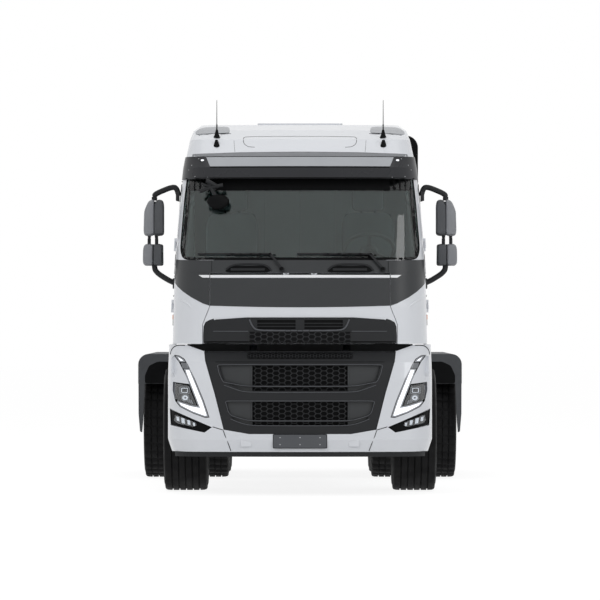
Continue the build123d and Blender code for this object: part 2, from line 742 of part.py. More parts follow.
def make_lip():
    lip = (bumper_shell & block(-1070, 1070, -10, 380, BUMPER_BOTTOM, BUMPER_BOTTOM + 42))
    return Pos(0, 14, -42) * lip


keep("bumper_lip", make_lip())


# ---------------------------------------------------------------- frame
CROSSMEMBERS = [
    # distance back, underside
    (RAIL_START + 10, RAIL_BOTTOM + 40),
    (2100, RAIL_BOTTOM + 10),
    (3200, RAIL_TOP - 130),
    (4200, RAIL_TOP - 130),
    (5265, RAIL_TOP - 130),
    (6560, RAIL_BOTTOM + 40),
]
UNDERRUN = (150, 260, 440, 640)


def make_frame():
    frame = None
    for side in (-1, 1):
        outer = side * RAIL_OUTER
        web = side * (RAIL_OUTER - RAIL_WEB)
        inner = side * (RAIL_OUTER - RAIL_FLANGE)
        rail = block(outer, web, RAIL_START, RAIL_END, RAIL_BOTTOM, RAIL_TOP)
        rail += block(outer, inner, RAIL_START, RAIL_END, RAIL_TOP - RAIL_WEB, RAIL_TOP)
        rail += block(outer, inner, RAIL_START, RAIL_END, RAIL_BOTTOM, RAIL_BOTTOM + RAIL_WEB)
        frame = rail if frame is None else frame + rail
    inside = RAIL_OUTER - RAIL_WEB
    for d, low in CROSSMEMBERS:
        frame += block(-inside, inside, d, d + 60, low, low + 110)
    frame += block(-1150, 1150, RAIL_END, RAIL_END + 30, 800, 900)
    d0, d1, z0, z1 = UNDERRUN
    frame += block(-900, 900, d0, d1, z0, z1)
    for x in (-740, -320, 320, 740):
        pad = block(x - 30, x + 30, 0, d0 + 10, z0, z0 + 80)
        frame += pad & shifted(bumper_space, SEAT_GAP)
    for side in (-1, 1):
        frame += block(side * 340, side * 420, d0, RAIL_START + 60, z0, RAIL_BOTTOM + 60)
        for ear in (-1, 1):
            x = side * ARM_X + ear * (ARM_HALF + 14)
            frame += block(x - 10, x + 10, TILT_Y - 35, RAIL_START + 80, RAIL_BOTTOM, TILT_Z + 40)
        frame += bar_x(side * ARM_X - ARM_HALF - 24, side * ARM_X + ARM_HALF + 24, TILT_Y, TILT_Z, TILT_PIN)
    return frame


frame = make_frame()
keep("frame", frame)

# ---------------------------------------------------------------- axles, knuckles and steering
KINGPIN_RADIUS = 24
EYE_RADIUS = 46
EYE_HALF = 70
YOKE_GAP = 1
YOKE_THICK = 34
SPINDLE = 40
BEAM_DEEP = 90
SPRING_X = 385


def make_front_axle():
    z = WHEEL_RADIUS
    eye = KINGPIN_X - 20
    rise = KINGPIN_X - 120
    beam = seen_from_front([(eye, z + 40), (rise, z + 30), (540, z - 40), (-540, z - 40), (-rise, z + 30),
                            (-eye, z + 40), (-eye, z - 50), (-rise, z - 60), (-520, z - 140), (520, z - 140),
                            (rise, z - 60), (eye, z - 50)],
                           FRONT_AXLE - BEAM_DEEP / 2, FRONT_AXLE + BEAM_DEEP / 2)
    for side in (-1, 1):
        beam += bar_z(side * KINGPIN_X, FRONT_AXLE, z - EYE_HALF, z + EYE_HALF, EYE_RADIUS)
        beam -= bar_z(side * KINGPIN_X, FRONT_AXLE, z - 100, z + 100, KINGPIN_RADIUS + PIN_GAP)
    return beam


keep("front_axle", make_front_axle())

TIE_ROD_Z = WHEEL_RADIUS - 140
TIE_PIN = 12


def make_knuckle():
    """Left knuckle: kingpin, yoke, spindle and the arm for the tie rod."""
    z = WHEEL_RADIUS
    yoke = bar_z(KINGPIN_X, FRONT_AXLE, z - EYE_HALF - YOKE_THICK, z + EYE_HALF + YOKE_THICK, KINGPIN_RADIUS)
    for low in (z - EYE_HALF - YOKE_THICK, z + EYE_HALF + YOKE_GAP):
        yoke += bar_z(KINGPIN_X, FRONT_AXLE, low, low + YOKE_THICK - YOKE_GAP, EYE_RADIUS)
        yoke += block(KINGPIN_X, KINGPIN_X + 80, FRONT_AXLE - 40, FRONT_AXLE + 40, low, low + YOKE_THICK - YOKE_GAP)
    yoke += block(KINGPIN_X + 56, KINGPIN_X + 84, FRONT_AXLE - 60, FRONT_AXLE + 60, z - EYE_HALF - YOKE_THICK,
                  z + EYE_HALF + YOKE_THICK)
    yoke += bar_x(KINGPIN_X + 80, FRONT_TRACK_HALF + 110, FRONT_AXLE, z, SPINDLE)
    arm_x = KINGPIN_X
    arm_low = z - EYE_HALF - YOKE_THICK
    arm = strut((KINGPIN_X, FRONT_AXLE, arm_low + 15), (arm_x, FRONT_AXLE + STEER_ARM, arm_low + 15), 12)
    arm += bar_z(arm_x, FRONT_AXLE + STEER_ARM, arm_low, arm_low + 30, 24)
    arm += bar_z(arm_x, FRONT_AXLE + STEER_ARM, TIE_ROD_Z - 20, arm_low + 4, TIE_PIN)
    return yoke + arm


knuckle = make_knuckle()
keep("knuckle_left", knuckle)
keep("knuckle_right", mirrored(knuckle))


def make_tie_rod():
    x = KINGPIN_X
    d = FRONT_AXLE + STEER_ARM
    rod = bar_x(-x + 20, x - 20, d, TIE_ROD_Z, 14)
    for side, gap in ((1, PIN_GAP), (-1, 1.0)):
        rod += bar_z(side * x, d, TIE_ROD_Z - 18, TIE_ROD_Z + 18, 26)
        rod -= bar_z(side * x, d, TIE_ROD_Z - 40, TIE_ROD_Z + 40, TIE_PIN + gap)
    return rod


keep("tie_rod", make_tie_rod())

HOUSING_TUBE = 70
DIFFERENTIAL = 220


def make_drive_axle(d):
    z = WHEEL_RADIUS
    axle = bar_x(-TWIN_INNER + 120, TWIN_INNER - 120, d, z, HOUSING_TUBE)
    for side in (-1, 1):
        axle += bar_x(side * (TWIN_INNER - 130), side * (TWIN_OUTER + 40), d, z, SPINDLE + 5)
    axle += Pos(0, back(d), z) * Rot(90, 0, 0) * Cylinder(DIFFERENTIAL - 10, 150)
    axle += bar_y(0, d - 260, d, z + 20, 110)
    return axle



# ---------------------------------------------------------------- springs
BAG_RADIUS = 140
BAG_OFFSET = 370


def make_suspension():
    """Front leaf springs and rear air bags on their beams."""
    pieces = []
    z = WHEEL_RADIUS
    for side in (-1, 1):
        x = side * SPRING_X
        leaf = seen_from_side([(FRONT_AXLE - 780, 690), (FRONT_AXLE - 400, z + 10), (FRONT_AXLE - 100, z - 40),
                               (FRONT_AXLE + 100, z - 40), (FRONT_AXLE + 400, z + 10), (FRONT_AXLE + 780, 690),
                               (FRONT_AXLE + 780, 720), (FRONT_AXLE + 740, 720), (FRONT_AXLE + 400, z + 50),
                               (FRONT_AXLE + 100, z + 20), (FRONT_AXLE - 100, z + 20), (FRONT_AXLE - 400, z + 50),
                               (FRONT_AXLE - 740, 720), (FRONT_AXLE - 780, 720)], x - 38, x + 38)
        pieces.append(leaf)
        for d in (MID_AXLE, REAR_AXLE):
            beam = block(x - 40, x + 40, d - 480, d + 480, z - HOUSING_TUBE - 70, z - HOUSING_TUBE)
            for end in (-1, 1):
                beam += bar_z(x, d + end * BAG_OFFSET, z - HOUSING_TUBE, RAIL_BOTTOM, 44)
            pieces.append(beam)
    return solids_of(pieces)


keep("springs", make_suspension())

# ---------------------------------------------------------------- wheels
TREAD_SHOULDER = 46
RIM_WALL = 14
HUB_RADIUS = 130


def tyre_profile(x):
    """Half section of a tyre centred at x, revolved about the axle."""
    half = TYRE_WIDTH / 2
    r = WHEEL_RADIUS
    return [(x - half + 30, BEAD_RADIUS), (x - half, BEAD_RADIUS + 90), (x - half, r - TREAD_SHOULDER - 20),
            (x - half + 12, r - 10), (x - half + 42, r), (x + half - 42, r), (x + half - 12, r - 10),
            (x + half, r - TREAD_SHOULDER - 20), (x + half, BEAD_RADIUS + 90), (x + half - 30, BEAD_RADIUS)]


def turned(profile, d):
    """Solid of revolution about a wheel's axle from (x, radius) points."""
    face = Face(Wire(Polyline([(x, back(d), WHEEL_RADIUS + r) for x, r in profile], close=True).edges()))
    return Solid.revolve(face, 360, Axis((0, back(d), WHEEL_RADIUS), (1, 0, 0)))


def rim_profile(x, disc, outward):
    """Rim barrel centred at x with its disc at the given place; outward is +1 or -1."""
    half = TYRE_WIDTH / 2 - 34
    r = BEAD_RADIUS - SEAT_GAP
    low = r - RIM_WALL
    side = outward
    return [(x - side * half, r), (x + side * half, r), (x + side * half, low), (disc + side * 11, low - 10),
            (disc + side * 11, HUB_RADIUS), (disc - side * 11, HUB_RADIUS), (disc - side * 11, low - 10),
            (x - side * half, low)]


def make_front_wheel():
    tyre = turned(tyre_profile(FRONT_TRACK_HALF), FRONT_AXLE)
    disc = FRONT_TRACK_HALF + 100
    rim = turned(rim_profile(FRONT_TRACK_HALF, disc, 1), FRONT_AXLE)
    hub = bar_x(FRONT_TRACK_HALF - 70, FRONT_TRACK_HALF + 175, FRONT_AXLE, WHEEL_RADIUS, HUB_RADIUS)
    hub -= bar_x(FRONT_TRACK_HALF - 71, FRONT_TRACK_HALF + 112, FRONT_AXLE, WHEEL_RADIUS, SPINDLE + PIN_GAP)
    return tyre, rim + hub


def make_twin_wheel(d):
    tyres = [turned(tyre_profile(TWIN_INNER), d), turned(tyre_profile(TWIN_OUTER), d)]
    disc_inner = (TWIN_INNER + TWIN_OUTER) / 2 - 12
    disc_outer = (TWIN_INNER + TWIN_OUTER) / 2 + 12
    rim = turned(rim_profile(TWIN_INNER, disc_inner, 1), d)
    rim += turned(rim_profile(TWIN_OUTER, disc_outer, -1), d)
    hub = bar_x(TWIN_INNER - 60, TWIN_OUTER + 90, d, WHEEL_RADIUS, HUB_RADIUS)
    hub -= bar_x(TWIN_INNER - 70, TWIN_OUTER + 42, d, WHEEL_RADIUS, SPINDLE + 5 + PIN_GAP)
    return tyres, rim + hub


tyre, rim = make_front_wheel()
for side, flip in (("left", False), ("right", True)):
    keep("tyre_front_" + side, mirrored(tyre) if flip else tyre)
    keep("rim_front_" + side, mirrored(rim) if flip else rim)
for place, d in (("mid", MID_AXLE), ("rear", REAR_AXLE)):
    tyres, rims = make_twin_wheel(d)
    for side, flip in (("left", False), ("right", True)):
        keep(f"tyres_{place}_{side}", solids_of([mirrored(t) for t in tyres] if flip else tyres))
        keep(f"rims_{place}_{side}", mirrored(rims) if flip else rims)

# ---------------------------------------------------------------- engine, shafts and radiator
def make_engine():
    engine = block(-330, 330, 520, 1240, 760, 1480)
    engine += block(-330, 330, 1240, 1700, 860, 1480)
    engine += block(-190, 190, 1700, 2060, 780, 1180)
    return engine


keep("engine", make_engine())


def make_driveline():
    """Both drive axles and the propeller shafts from the gearbox to them."""
    front = strut((0, 2050, 960), (0, MID_AXLE - 255, WHEEL_RADIUS + 20), 55) - nodes["engine"]
    rear = strut((0, MID_AXLE + 70, WHEEL_RADIUS + 20), (0, REAR_AXLE - 255, WHEEL_RADIUS + 20), 50)
    return make_drive_axle(MID_AXLE) + make_drive_axle(REAR_AXLE) + front + rear


keep("driveline", make_driveline())
keep("radiator", block(-330, 330, 400, 500, 660, 1230) + block(-360, 360, 430, 470, RAIL_TOP, RAIL_TOP + 20))

# ---------------------------------------------------------------- front mudguards
MUDGUARD_SKIN = 24
ARCH_TOP = 1166


def arch_outline(radius, top, low):
    """Arch about the front wheel, flattened at a height, with its legs down to low."""
    z = WHEEL_RADIUS
    reach = math.sqrt(radius ** 2 - (top - z) ** 2)
    start = math.asin((top - z) / radius)
    stop = math.asin((low - z) / radius)
    steps = 5
    side = []
    for step in range(steps + 1):
        angle = start + (stop - start) * step / steps
        side.append((radius * math.cos(angle), z + radius * math.sin(angle)))
    return [(FRONT_AXLE - reach, top)] + [(FRONT_AXLE + a, b) for a, b in side] + \
           [(FRONT_AXLE - a, b) for a, b in reversed(side[1:])]


def make_front_mudguard():
    outer = arch_outline(ARCH_RADIUS + MUDGUARD_SKIN, ARCH_TOP + MUDGUARD_SKIN, 640)
    inner = arch_outline(ARCH_RADIUS, ARCH_TOP, 630)
    guard = seen_from_side(outer, 640, 1134) - seen_from_side(inner, 600, 1200)
    panel = seen_from_side([(BUMPER_END + 2, 1286), (2100, 1286), (2100, 640), (BUMPER_END + 2, 640)], 1110, 1134)
    panel -= bar_x(1000, 1200, FRONT_AXLE, WHEEL_RADIUS, ARCH_RADIUS)
    panel -= block(1000, 1200, FRONT_AXLE - 300, FRONT_AXLE + 300, 600, ARCH_TOP)
    guard += panel
    for end in (-1, 1):
        d = FRONT_AXLE + end * 570
        guard += block(RAIL_OUTER, 700, d - 20, d + 20, RAIL_TOP - 90, RAIL_TOP - 20)
    return guard - bar_x(0, 1300, FRONT_AXLE, WHEEL_RADIUS, ARCH_RADIUS)


keep("front_mudguards", both_sides(make_front_mudguard() - nodes["bumper"]))


def make_steps():
    """Left entry step box behind the bumper corner, open to the side at two treads."""
    box = block(760, 1090, 425, 648, 420, 1200)
    for z in STEP_LEVELS:
        if z < 1000:
            box -= block(840, 1200, 440, 640, z + STEP_TREAD, z + 250)
    box -= bar_x(-WIDE, WIDE, FRONT_AXLE, WHEEL_RADIUS, ARCH_RADIUS + 30)
    return (box & bumper_space) - nodes["bumper"]


keep("entry_steps", both_sides(make_steps()))

# ---------------------------------------------------------------- tank, boxes, deck and rear mudguards
TANK = (2230, 3720, 380, 1000)
TANK_IN = 470
TANK_OUT = 1120
STRAPS = [2480, 3470]


def make_tank():
    d0, d1, z0, z1 = TANK
    tank = block(TANK_IN, TANK_OUT, d0, d1, z0, z1)
    tank = fillet(tank.edges().filter_by(Axis.Y), 110)
    for d in STRAPS:
        tank += block(RAIL_OUTER, TANK_IN + 60, d - 40, d + 40, RAIL_BOTTOM + 60, RAIL_TOP - 80)
    return tank


def make_side_boxes():
    battery = block(-TANK_OUT, -TANK_IN, 2230, 2880, 420, 1000)
    battery = fillet(battery.edges().filter_by(Axis.Y), 40)
    exhaust = block(-TANK_OUT, -TANK_IN, 2940, 3720, 420, 1000)
    exhaust = fillet(exhaust.edges().filter_by(Axis.Y), 90)
    for d in (2480, 3470):
        bracket = block(-RAIL_OUTER, -TANK_IN - 30, d - 40, d + 40, RAIL_BOTTOM + 60, RAIL_TOP - 80)
        if d < 2900:
            battery += bracket
        else:
            exhaust += bracket
    return solids_of([battery, exhaust])


keep("fuel_tank", make_tank())
keep("side_boxes", make_side_boxes())
keep("deck_plate", block(-RAIL_OUTER, RAIL_OUTER, 2200, 3900, RAIL_TOP, RAIL_TOP + 20))

GUARD_ROUND = 100
GUARD_FRONT = MID_AXLE - 620
GUARD_REAR = REAR_AXLE + 620
GUARD_EDGE = 900
GUARD_ARCH = 580


def make_rear_mudguard():
    z = GUARD_TOP
    outer = block(GUARD_INNER, GUARD_OUTER, GUARD_FRONT, GUARD_REAR, GUARD_EDGE, z)
    outer = fillet(outer.edges().filter_by(Axis.Y).sort_by(Axis.Z)[-2:].sort_by(Axis.X)[-1], GUARD_ROUND)
    skin = GUARD_SKIN
    inner = block(GUARD_INNER - 10, GUARD_OUTER - skin, GUARD_FRONT + skin, GUARD_REAR - skin, GUARD_EDGE - 10, z - skin)
    inner = fillet(inner.edges().filter_by(Axis.Y).sort_by(Axis.Z)[-2:].sort_by(Axis.X)[-1], GUARD_ROUND - skin)
    guard = outer - inner
    for d in (MID_AXLE, REAR_AXLE):
        guard -= bar_x(GUARD_OUTER - 60, GUARD_OUTER + 60, d, WHEEL_RADIUS, GUARD_ARCH)
    for d in (GUARD_FRONT + skin, (MID_AXLE + REAR_AXLE) / 2 - 25, GUARD_REAR - skin - 50):
        guard += block(RAIL_OUTER + 40, GUARD_OUTER - 120, d, d + 50, z - skin - 50, z - skin)
        guard += block(RAIL_OUTER, RAIL_OUTER + 40, d, d + 50, RAIL_TOP - 120, z - skin)
    return guard


keep("rear_mudguards", both_sides(make_rear_mudguard()))

# ---------------------------------------------------------------- fifth wheel
FIFTH_AXIS_Z = 1130
FIFTH_PIN = 24
FIFTH_EAR_X = 340


def make_fifth_base():
    """Mounting plate on the rails with a trunnion bracket at each side."""
    base = block(-RAIL_OUTER, RAIL_OUTER, FIFTH_WHEEL - 300, FIFTH_WHEEL + 300, RAIL_TOP, RAIL_TOP + 20)
    for side in (-1, 1):
        x = side * FIFTH_EAR_X
        bracket = seen_from_side([(FIFTH_WHEEL - 150, RAIL_TOP + 20), (FIFTH_WHEEL - 45, FIFTH_AXIS_Z + 34),
                                  (FIFTH_WHEEL + 45, FIFTH_AXIS_Z + 34), (FIFTH_WHEEL + 150, RAIL_TOP + 20)],
                                 x - 40, x + 40)
        base += bracket
        base += bar_x(x - 85, x + 85, FIFTH_WHEEL, FIFTH_AXIS_Z, FIFTH_PIN)
    return base


def make_fifth_plate():
    """Greased plate: round front, open throat behind the lock, ears on the trunnion pins."""
    low = FIFTH_TOP - PLATE_THICK
    plate = Pos(0, back(FIFTH_WHEEL - 20), (low + FIFTH_TOP) / 2) * Cylinder(450, PLATE_THICK)
    plate += block(-440, 440, FIFTH_WHEEL + 60, FIFTH_WHEEL + 380, low, FIFTH_TOP)
    throat = Face(Wire(Polyline([(-45, back(FIFTH_WHEEL + 90), low - 10), (45, back(FIFTH_WHEEL + 90), low - 10),
                                 (210, back(FIFTH_WHEEL + 500), low - 10),
                                 (-210, back(FIFTH_WHEEL + 500), low - 10)], close=True).edges()))
    plate -= Solid.extrude(throat, Vector(0, 0, PLATE_THICK + 20))
    plate -= bar_z(0, FIFTH_WHEEL, low - 10, FIFTH_TOP + 10, KINGPIN_HOLE)
    for side in (-1, 1):
        for ear in (-1, 1):
            x = side * FIFTH_EAR_X + ear * 62
            lug = block(x - 16, x + 16, FIFTH_WHEEL - 50, FIFTH_WHEEL + 50, FIFTH_AXIS_Z - 40, low + 5)
            lug -= bar_x(x - 17, x + 17, FIFTH_WHEEL, FIFTH_AXIS_Z, FIFTH_PIN + PIN_GAP)
            plate += lug
    return plate


keep("fifth_wheel_base", make_fifth_base())
keep("fifth_wheel_plate", make_fifth_plate())

# ---------------------------------------------------------------- tail lamps
def make_tail_lamps():
    lamp = block(780, 1150, RAIL_END + 30, LENGTH, 790, 910)
    return both_sides(fillet(lamp.edges().filter_by(Axis.Y), 20))


keep("tail_lamps", make_tail_lamps())

# ---------------------------------------------------------------- export
os.makedirs("parts", exist_ok=True)
for name, shape in nodes.items():
    export_step(shape, f"parts/{name}.step")
print(len(nodes), "nodes")
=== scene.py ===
# %% [markdown]
# # A semi truck tractor unit, dressed in Blender
# The tractor comes from CAD as a fixed frame of metal, glass and rubber solids, in metres. This lesson
# gives each of them a finish and adds the pieces that a CAD model leaves plain: lamps, grille mesh, tyre
# tread, mirrors, wipers, seats and trim. Everything is placed from the frame's own boxes and surfaces, so
# nothing here needs fitting by eye.

# %% Load the frame and keep its box
import math

import bmesh
import bpy
from mathutils import Matrix, Vector
from mathutils.bvhtree import BVHTree


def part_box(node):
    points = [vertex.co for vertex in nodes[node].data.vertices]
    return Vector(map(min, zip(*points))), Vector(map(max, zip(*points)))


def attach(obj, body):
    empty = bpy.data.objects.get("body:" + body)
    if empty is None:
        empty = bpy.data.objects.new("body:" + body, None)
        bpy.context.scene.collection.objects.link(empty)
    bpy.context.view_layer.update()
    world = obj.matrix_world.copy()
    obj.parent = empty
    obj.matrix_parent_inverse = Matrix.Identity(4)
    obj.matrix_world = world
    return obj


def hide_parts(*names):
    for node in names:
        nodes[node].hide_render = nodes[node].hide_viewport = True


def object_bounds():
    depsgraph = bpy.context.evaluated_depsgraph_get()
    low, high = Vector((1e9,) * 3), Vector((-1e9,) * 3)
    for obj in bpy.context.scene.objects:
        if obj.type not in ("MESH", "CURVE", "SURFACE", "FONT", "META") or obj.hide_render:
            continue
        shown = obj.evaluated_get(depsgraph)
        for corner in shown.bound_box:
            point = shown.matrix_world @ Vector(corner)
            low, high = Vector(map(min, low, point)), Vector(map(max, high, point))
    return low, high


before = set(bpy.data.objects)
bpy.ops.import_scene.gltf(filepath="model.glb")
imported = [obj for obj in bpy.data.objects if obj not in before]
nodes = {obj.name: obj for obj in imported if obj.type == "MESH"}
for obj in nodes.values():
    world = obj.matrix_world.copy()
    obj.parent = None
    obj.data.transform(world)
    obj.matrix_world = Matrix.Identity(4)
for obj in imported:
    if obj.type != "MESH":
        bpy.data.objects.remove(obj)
cad_box = [list(corner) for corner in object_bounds()]
FRONT = cad_box[0][1]
print("nodes", len(nodes), "front face at y", round(FRONT, 3))

# %% [markdown]
# ## Small tools
# Real parts sit on one another's skins. A ray cast at a CAD surface says how deep that skin lies, so trim
# can be drawn flat in one view and then dropped on the body, as a film or a clip-on panel is. "front" looks
# along +Y, "left" looks at the driver's side, "right" at the other side, "rear" at the back and "top" down.

# %% Rays that find a skin
VIEWS = {
    "front": (Vector((0, 1, 0)), lambda u, v: Vector((u, -9, v))),
    "left": (Vector((-1, 0, 0)), lambda u, v: Vector((9, u, v))),
    "right": (Vector((1, 0, 0)), lambda u, v: Vector((-9, u, v))),
    "rear": (Vector((0, -1, 0)), lambda u, v: Vector((u, 9, v))),
    "top": (Vector((0, 0, -1)), lambda u, v: Vector((u, v, 9))),
}


def skin_of(*names):
    """One ray-cast tree over the surfaces of several CAD nodes."""
    points = []
    faces = []
    for name in names:
        mesh = nodes[name].data
        start = len(points)
        points += [vertex.co.copy() for vertex in mesh.vertices]
        faces += [[start + index for index in face.vertices] for face in mesh.polygons]
    return BVHTree.FromPolygons(points, faces)


def on_skin(tree, view, u, v, stand=0.0):
    """The point of a skin seen at (u, v) in a view, standing off towards the viewer."""
    direction, origin = VIEWS[view]
    for shift in (0, 0.002, 0.006, 0.015, 0.04, 0.1, 0.2):
        around = [(a, b) for a in (-1, 0, 1) for b in (-1, 0, 1) if a or b] if shift else [(0, 0)]
        hits = [tree.ray_cast(origin(u + a * shift, v + b * shift), direction) for a, b in around]
        reaches = [hit[3] for hit in hits if hit[0] is not None]
        if reaches:
            return origin(u, v) + direction * (min(reaches) - stand)
    raise ValueError(f"no skin at {u:.3f}, {v:.3f} in the {view} view")


# %% [markdown]
# A finished piece is one mesh object with a material, smooth shading broken at its real edges, and a small
# bevel, because no moulded or pressed part has a knife edge. `piece` does that for all of them and lets the
# result ride on its CAD body, so that it moves with the right door, wheel or lid.

# %% Make a piece
CAD_EDGE_ANGLE = 30


def piece(name, shape, material, body, bevel=0.0, segments=2, edge_angle=35, replaces=(), slot=None):
    """An object from a bmesh, finished and riding on its body."""
    bmesh.ops.recalc_face_normals(shape, faces=shape.faces)
    mesh = bpy.data.meshes.new(name)
    shape.to_mesh(mesh)
    shape.free()
    obj = bpy.data.objects.new(name, mesh)
    bpy.context.scene.collection.objects.link(obj)
    for layer in material if isinstance(material, list) else [material]:
        mesh.materials.append(layer)
    mesh.shade_smooth()
    mesh.set_sharp_from_angle(angle=math.radians(edge_angle))
    if bevel:
        rounding = obj.modifiers.new("edges", "BEVEL")
        rounding.width = bevel
        rounding.segments = segments
        rounding.limit_method = "ANGLE"
        rounding.angle_limit = math.radians(edge_angle)
        rounding.harden_normals = True
    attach(obj, body)
    if replaces:
        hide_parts(*replaces)
    return obj


# %% [markdown]
# Most trim is one of a few shapes: a flat outline dropped on a skin, a straight extrusion, a turned form,
# or a rod along a path. Each gets one maker, and all but the first are rings of points joined one to the
# next. They add to a bmesh, so that one piece can hold several.

# %% Panels dropped on a skin, and straight extrusions
def add_draped(shape, outline, tree, view, thick, stand=0.0, step=0.05):
    """A panel of even thickness over a skin, its outline given in the view's two axes."""
    flat = bmesh.new()
    flat.faces.new([flat.verts.new((u, v, 0)) for u, v in outline])
    for axis, normal in ((0, Vector((1, 0, 0))), (1, Vector((0, 1, 0)))):
        values = [point[axis] for point in outline]
        low = min(values)
        cuts = int((max(values) - low) / step)
        for count in range(1, cuts + 1):
            place = normal * (low + (max(values) - low) * count / (cuts + 1))
            parts = flat.verts[:] + flat.edges[:] + flat.faces[:]
            bmesh.ops.bisect_plane(flat, geom=parts, plane_co=place, plane_no=normal)
    flat.verts.index_update()
    direction = VIEWS[view][0]
    outer = [shape.verts.new(on_skin(tree, view, vertex.co.x, vertex.co.y, stand)) for vertex in flat.verts]
    inner = [shape.verts.new(vertex.co + direction * thick) for vertex in outer]
    for face in flat.faces:
        order = [vertex.index for vertex in face.verts]
        shape.faces.new([outer[index] for index in order])
        shape.faces.new([inner[index] for index in reversed(order)])
    for edge in flat.edges:
        if len(edge.link_faces) == 1:
            a, b = (vertex.index for vertex in edge.verts)
            shape.faces.new([outer[a], outer[b], inner[b], inner[a]])
    flat.free()
    return shape


def placed(axis, along, a, b):
    """A point from a place along one axis and the places along the other two."""
    return Vector({"x": (along, a, b), "y": (a, along, b), "z": (a, b, along)}[axis])


def add_layers(shape, layers, caps=True, around=False):
    """Rings of points joined one to the next; caps close both ends, around joins the last to the first."""
    rings = [[shape.verts.new(point) for point in layer] for layer in layers]
    for ring, following in zip(rings, rings[1:] + (rings[:1] if around else [])):
        for k in range(len(ring)):
            shape.faces.new([ring[k - 1], ring[k], following[k], following[k - 1]])
    if caps:
        shape.faces.new(rings[0][::-1])
        shape.faces.new(rings[-1])
    return shape


def add_prism(shape, outline, axis, low, high, top_scale=1.0):
    """An outline carried along an axis, its far end scaled about its middle."""
    count = len(outline)
    middle = (sum(a for a, b in outline) / count, sum(b for a, b in outline) / count)
    far = [(middle[0] + (a - middle[0]) * top_scale, middle[1] + (b - middle[1]) * top_scale) for a,
        b in outline]
    return add_layers(shape, [[placed(axis, low, a, b) for a, b in outline],
        [placed(axis, high, a, b) for a, b in far]])


# %% Turned forms, rods and bolts
def add_turned(shape, profile, centre, axis="x", steps=64, closed=True):
    """A profile of (along, radius) points turned about an axis; an open one gets end caps."""
    turns = [math.tau * step / steps for step in range(steps)]
    layers = [[Vector(centre) + placed(axis, along, radius * math.cos(turn), radius * math.sin(turn))
        for turn in turns] for along, radius in profile]
    return add_layers(shape, layers, caps=not closed, around=closed)


def add_rod(shape, points, radius, sides=12, flat=1.0, up=(0, 0, 1)):
    """A rod along a path of points; one radius or one for each, and flattened by a share."""
    points = [Vector(point) for point in points]
    radii = radius if isinstance(radius, list) else [radius] * len(points)
    layers = []
    turns = [math.tau * k / sides for k in range(sides)]
    for number, point in enumerate(points):
        before = points[max(number - 1, 0)]
        after = points[min(number + 1, len(points) - 1)]
        along = (after - before).normalized()
        side = along.cross(Vector(up))
        side = side.normalized() if side.length > 0.05 else along.cross(Vector((0, 1, 0))).normalized()
        lift = side.cross(along)
        layers.append([point + (side * math.cos(turn) + lift * math.sin(turn) * flat) * radii[number]
            for turn in turns])
    return add_layers(shape, layers)


def smooth_path(points, steps=6):
    """A rounder path through the middles of a few points' runs, its corners as soft bends."""
    points = [Vector(point) for point in points]
    path = [points[0]]
    for before, corner, after in zip(points, points[1:], points[2:]):
        start = before.lerp(corner, 0.6)
        stop = corner.lerp(after, 0.4)
        for step in range(steps + 1):
            share = step / steps
            path.append(start.lerp(corner, share).lerp(corner.lerp(stop, share), share))
    path.append(points[-1])
    return path


def add_bolt(shape, place, axis, size=0.012, tall=0.009, outward=1):
    """A hexagon head on a washer."""
    x, y, z = place
    along, a, b = {"x": (x, y, z), "y": (y, x, z), "z": (z, x, y)}[axis]
    for radius, low, high, sides in ((size * 1.25, 0, tall * 0.25, 12), (size, tall * 0.25, tall, 6)):
        add_prism(shape, circle(a, b, radius, sides), axis, along + outward * low, along + outward * high,
            0.96)
    return shape


def rounded(outline, radius, steps=4):
    """An outline with each corner as an arc-like bend of about this radius."""
    soft = []
    count = len(outline)
    for k in range(count):
        before, corner, after = (Vector(outline[(k + shift) % count]) for shift in (-1, 0, 1))
        start = corner + (before - corner).normalized() * min(radius, (before - corner).length * 0.45)
        stop = corner + (after - corner).normalized() * min(radius, (after - corner).length * 0.45)
        for step in range(steps + 1):
            share = step / steps
            point = start.lerp(corner, share).lerp(corner.lerp(stop, share), share)
            soft.append((point.x, point.y))
    return soft


def box_outline(a0, a1, b0, b1):
    """A rectangle's four corners."""
    return [(a0, b0), (a1, b0), (a1, b1), (a0, b1)]


def soft_box(a0, a1, b0, b1, radius, steps=4):
    """A rectangle with rounded corners."""
    return rounded(box_outline(a0, a1, b0, b1), radius, steps)


def circle(a, b, radius, sides, tall=1.0):
    """A circle's outline, or an oval's whose height is a share of its width."""
    turns = [math.tau * k / sides for k in range(sides)]
    return [(a + radius * math.cos(turn), b + radius * tall * math.sin(turn)) for turn in turns]


def on_line(tree, view, line, stand=0.0):
    """The points of a skin along a line of a view."""
    return [on_skin(tree, view, u, v, stand) for u, v in line]


POLE = 0.0005  # the radius at which a turned form closes on its axis


# %% [markdown]
# ## Camera and studio
# The truck is seen straight from the front through a long lens from far away, so that its sides run nearly
# parallel. A 258 mm lens on a 36 mm sensor, 38 m ahead of the front axle and 1.5 m above the road, gives
# that view. The studio is a pale floor under a white surround: the surround shows white to the camera, in
# reflections and through glass, while the light that falls on the paint stays at a plain level.

# %% Camera
EYE_HEIGHT = 1.5
EYE_DISTANCE = 38.0
FOCAL_PIXELS = 4305
FRAME_PIXELS = 600
HORIZON_PIXEL = 320
front_axle_low, front_axle_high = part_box("tyre_front_left")
FRONT_AXLE_Y = (front_axle_low.y + front_axle_high.y) / 2

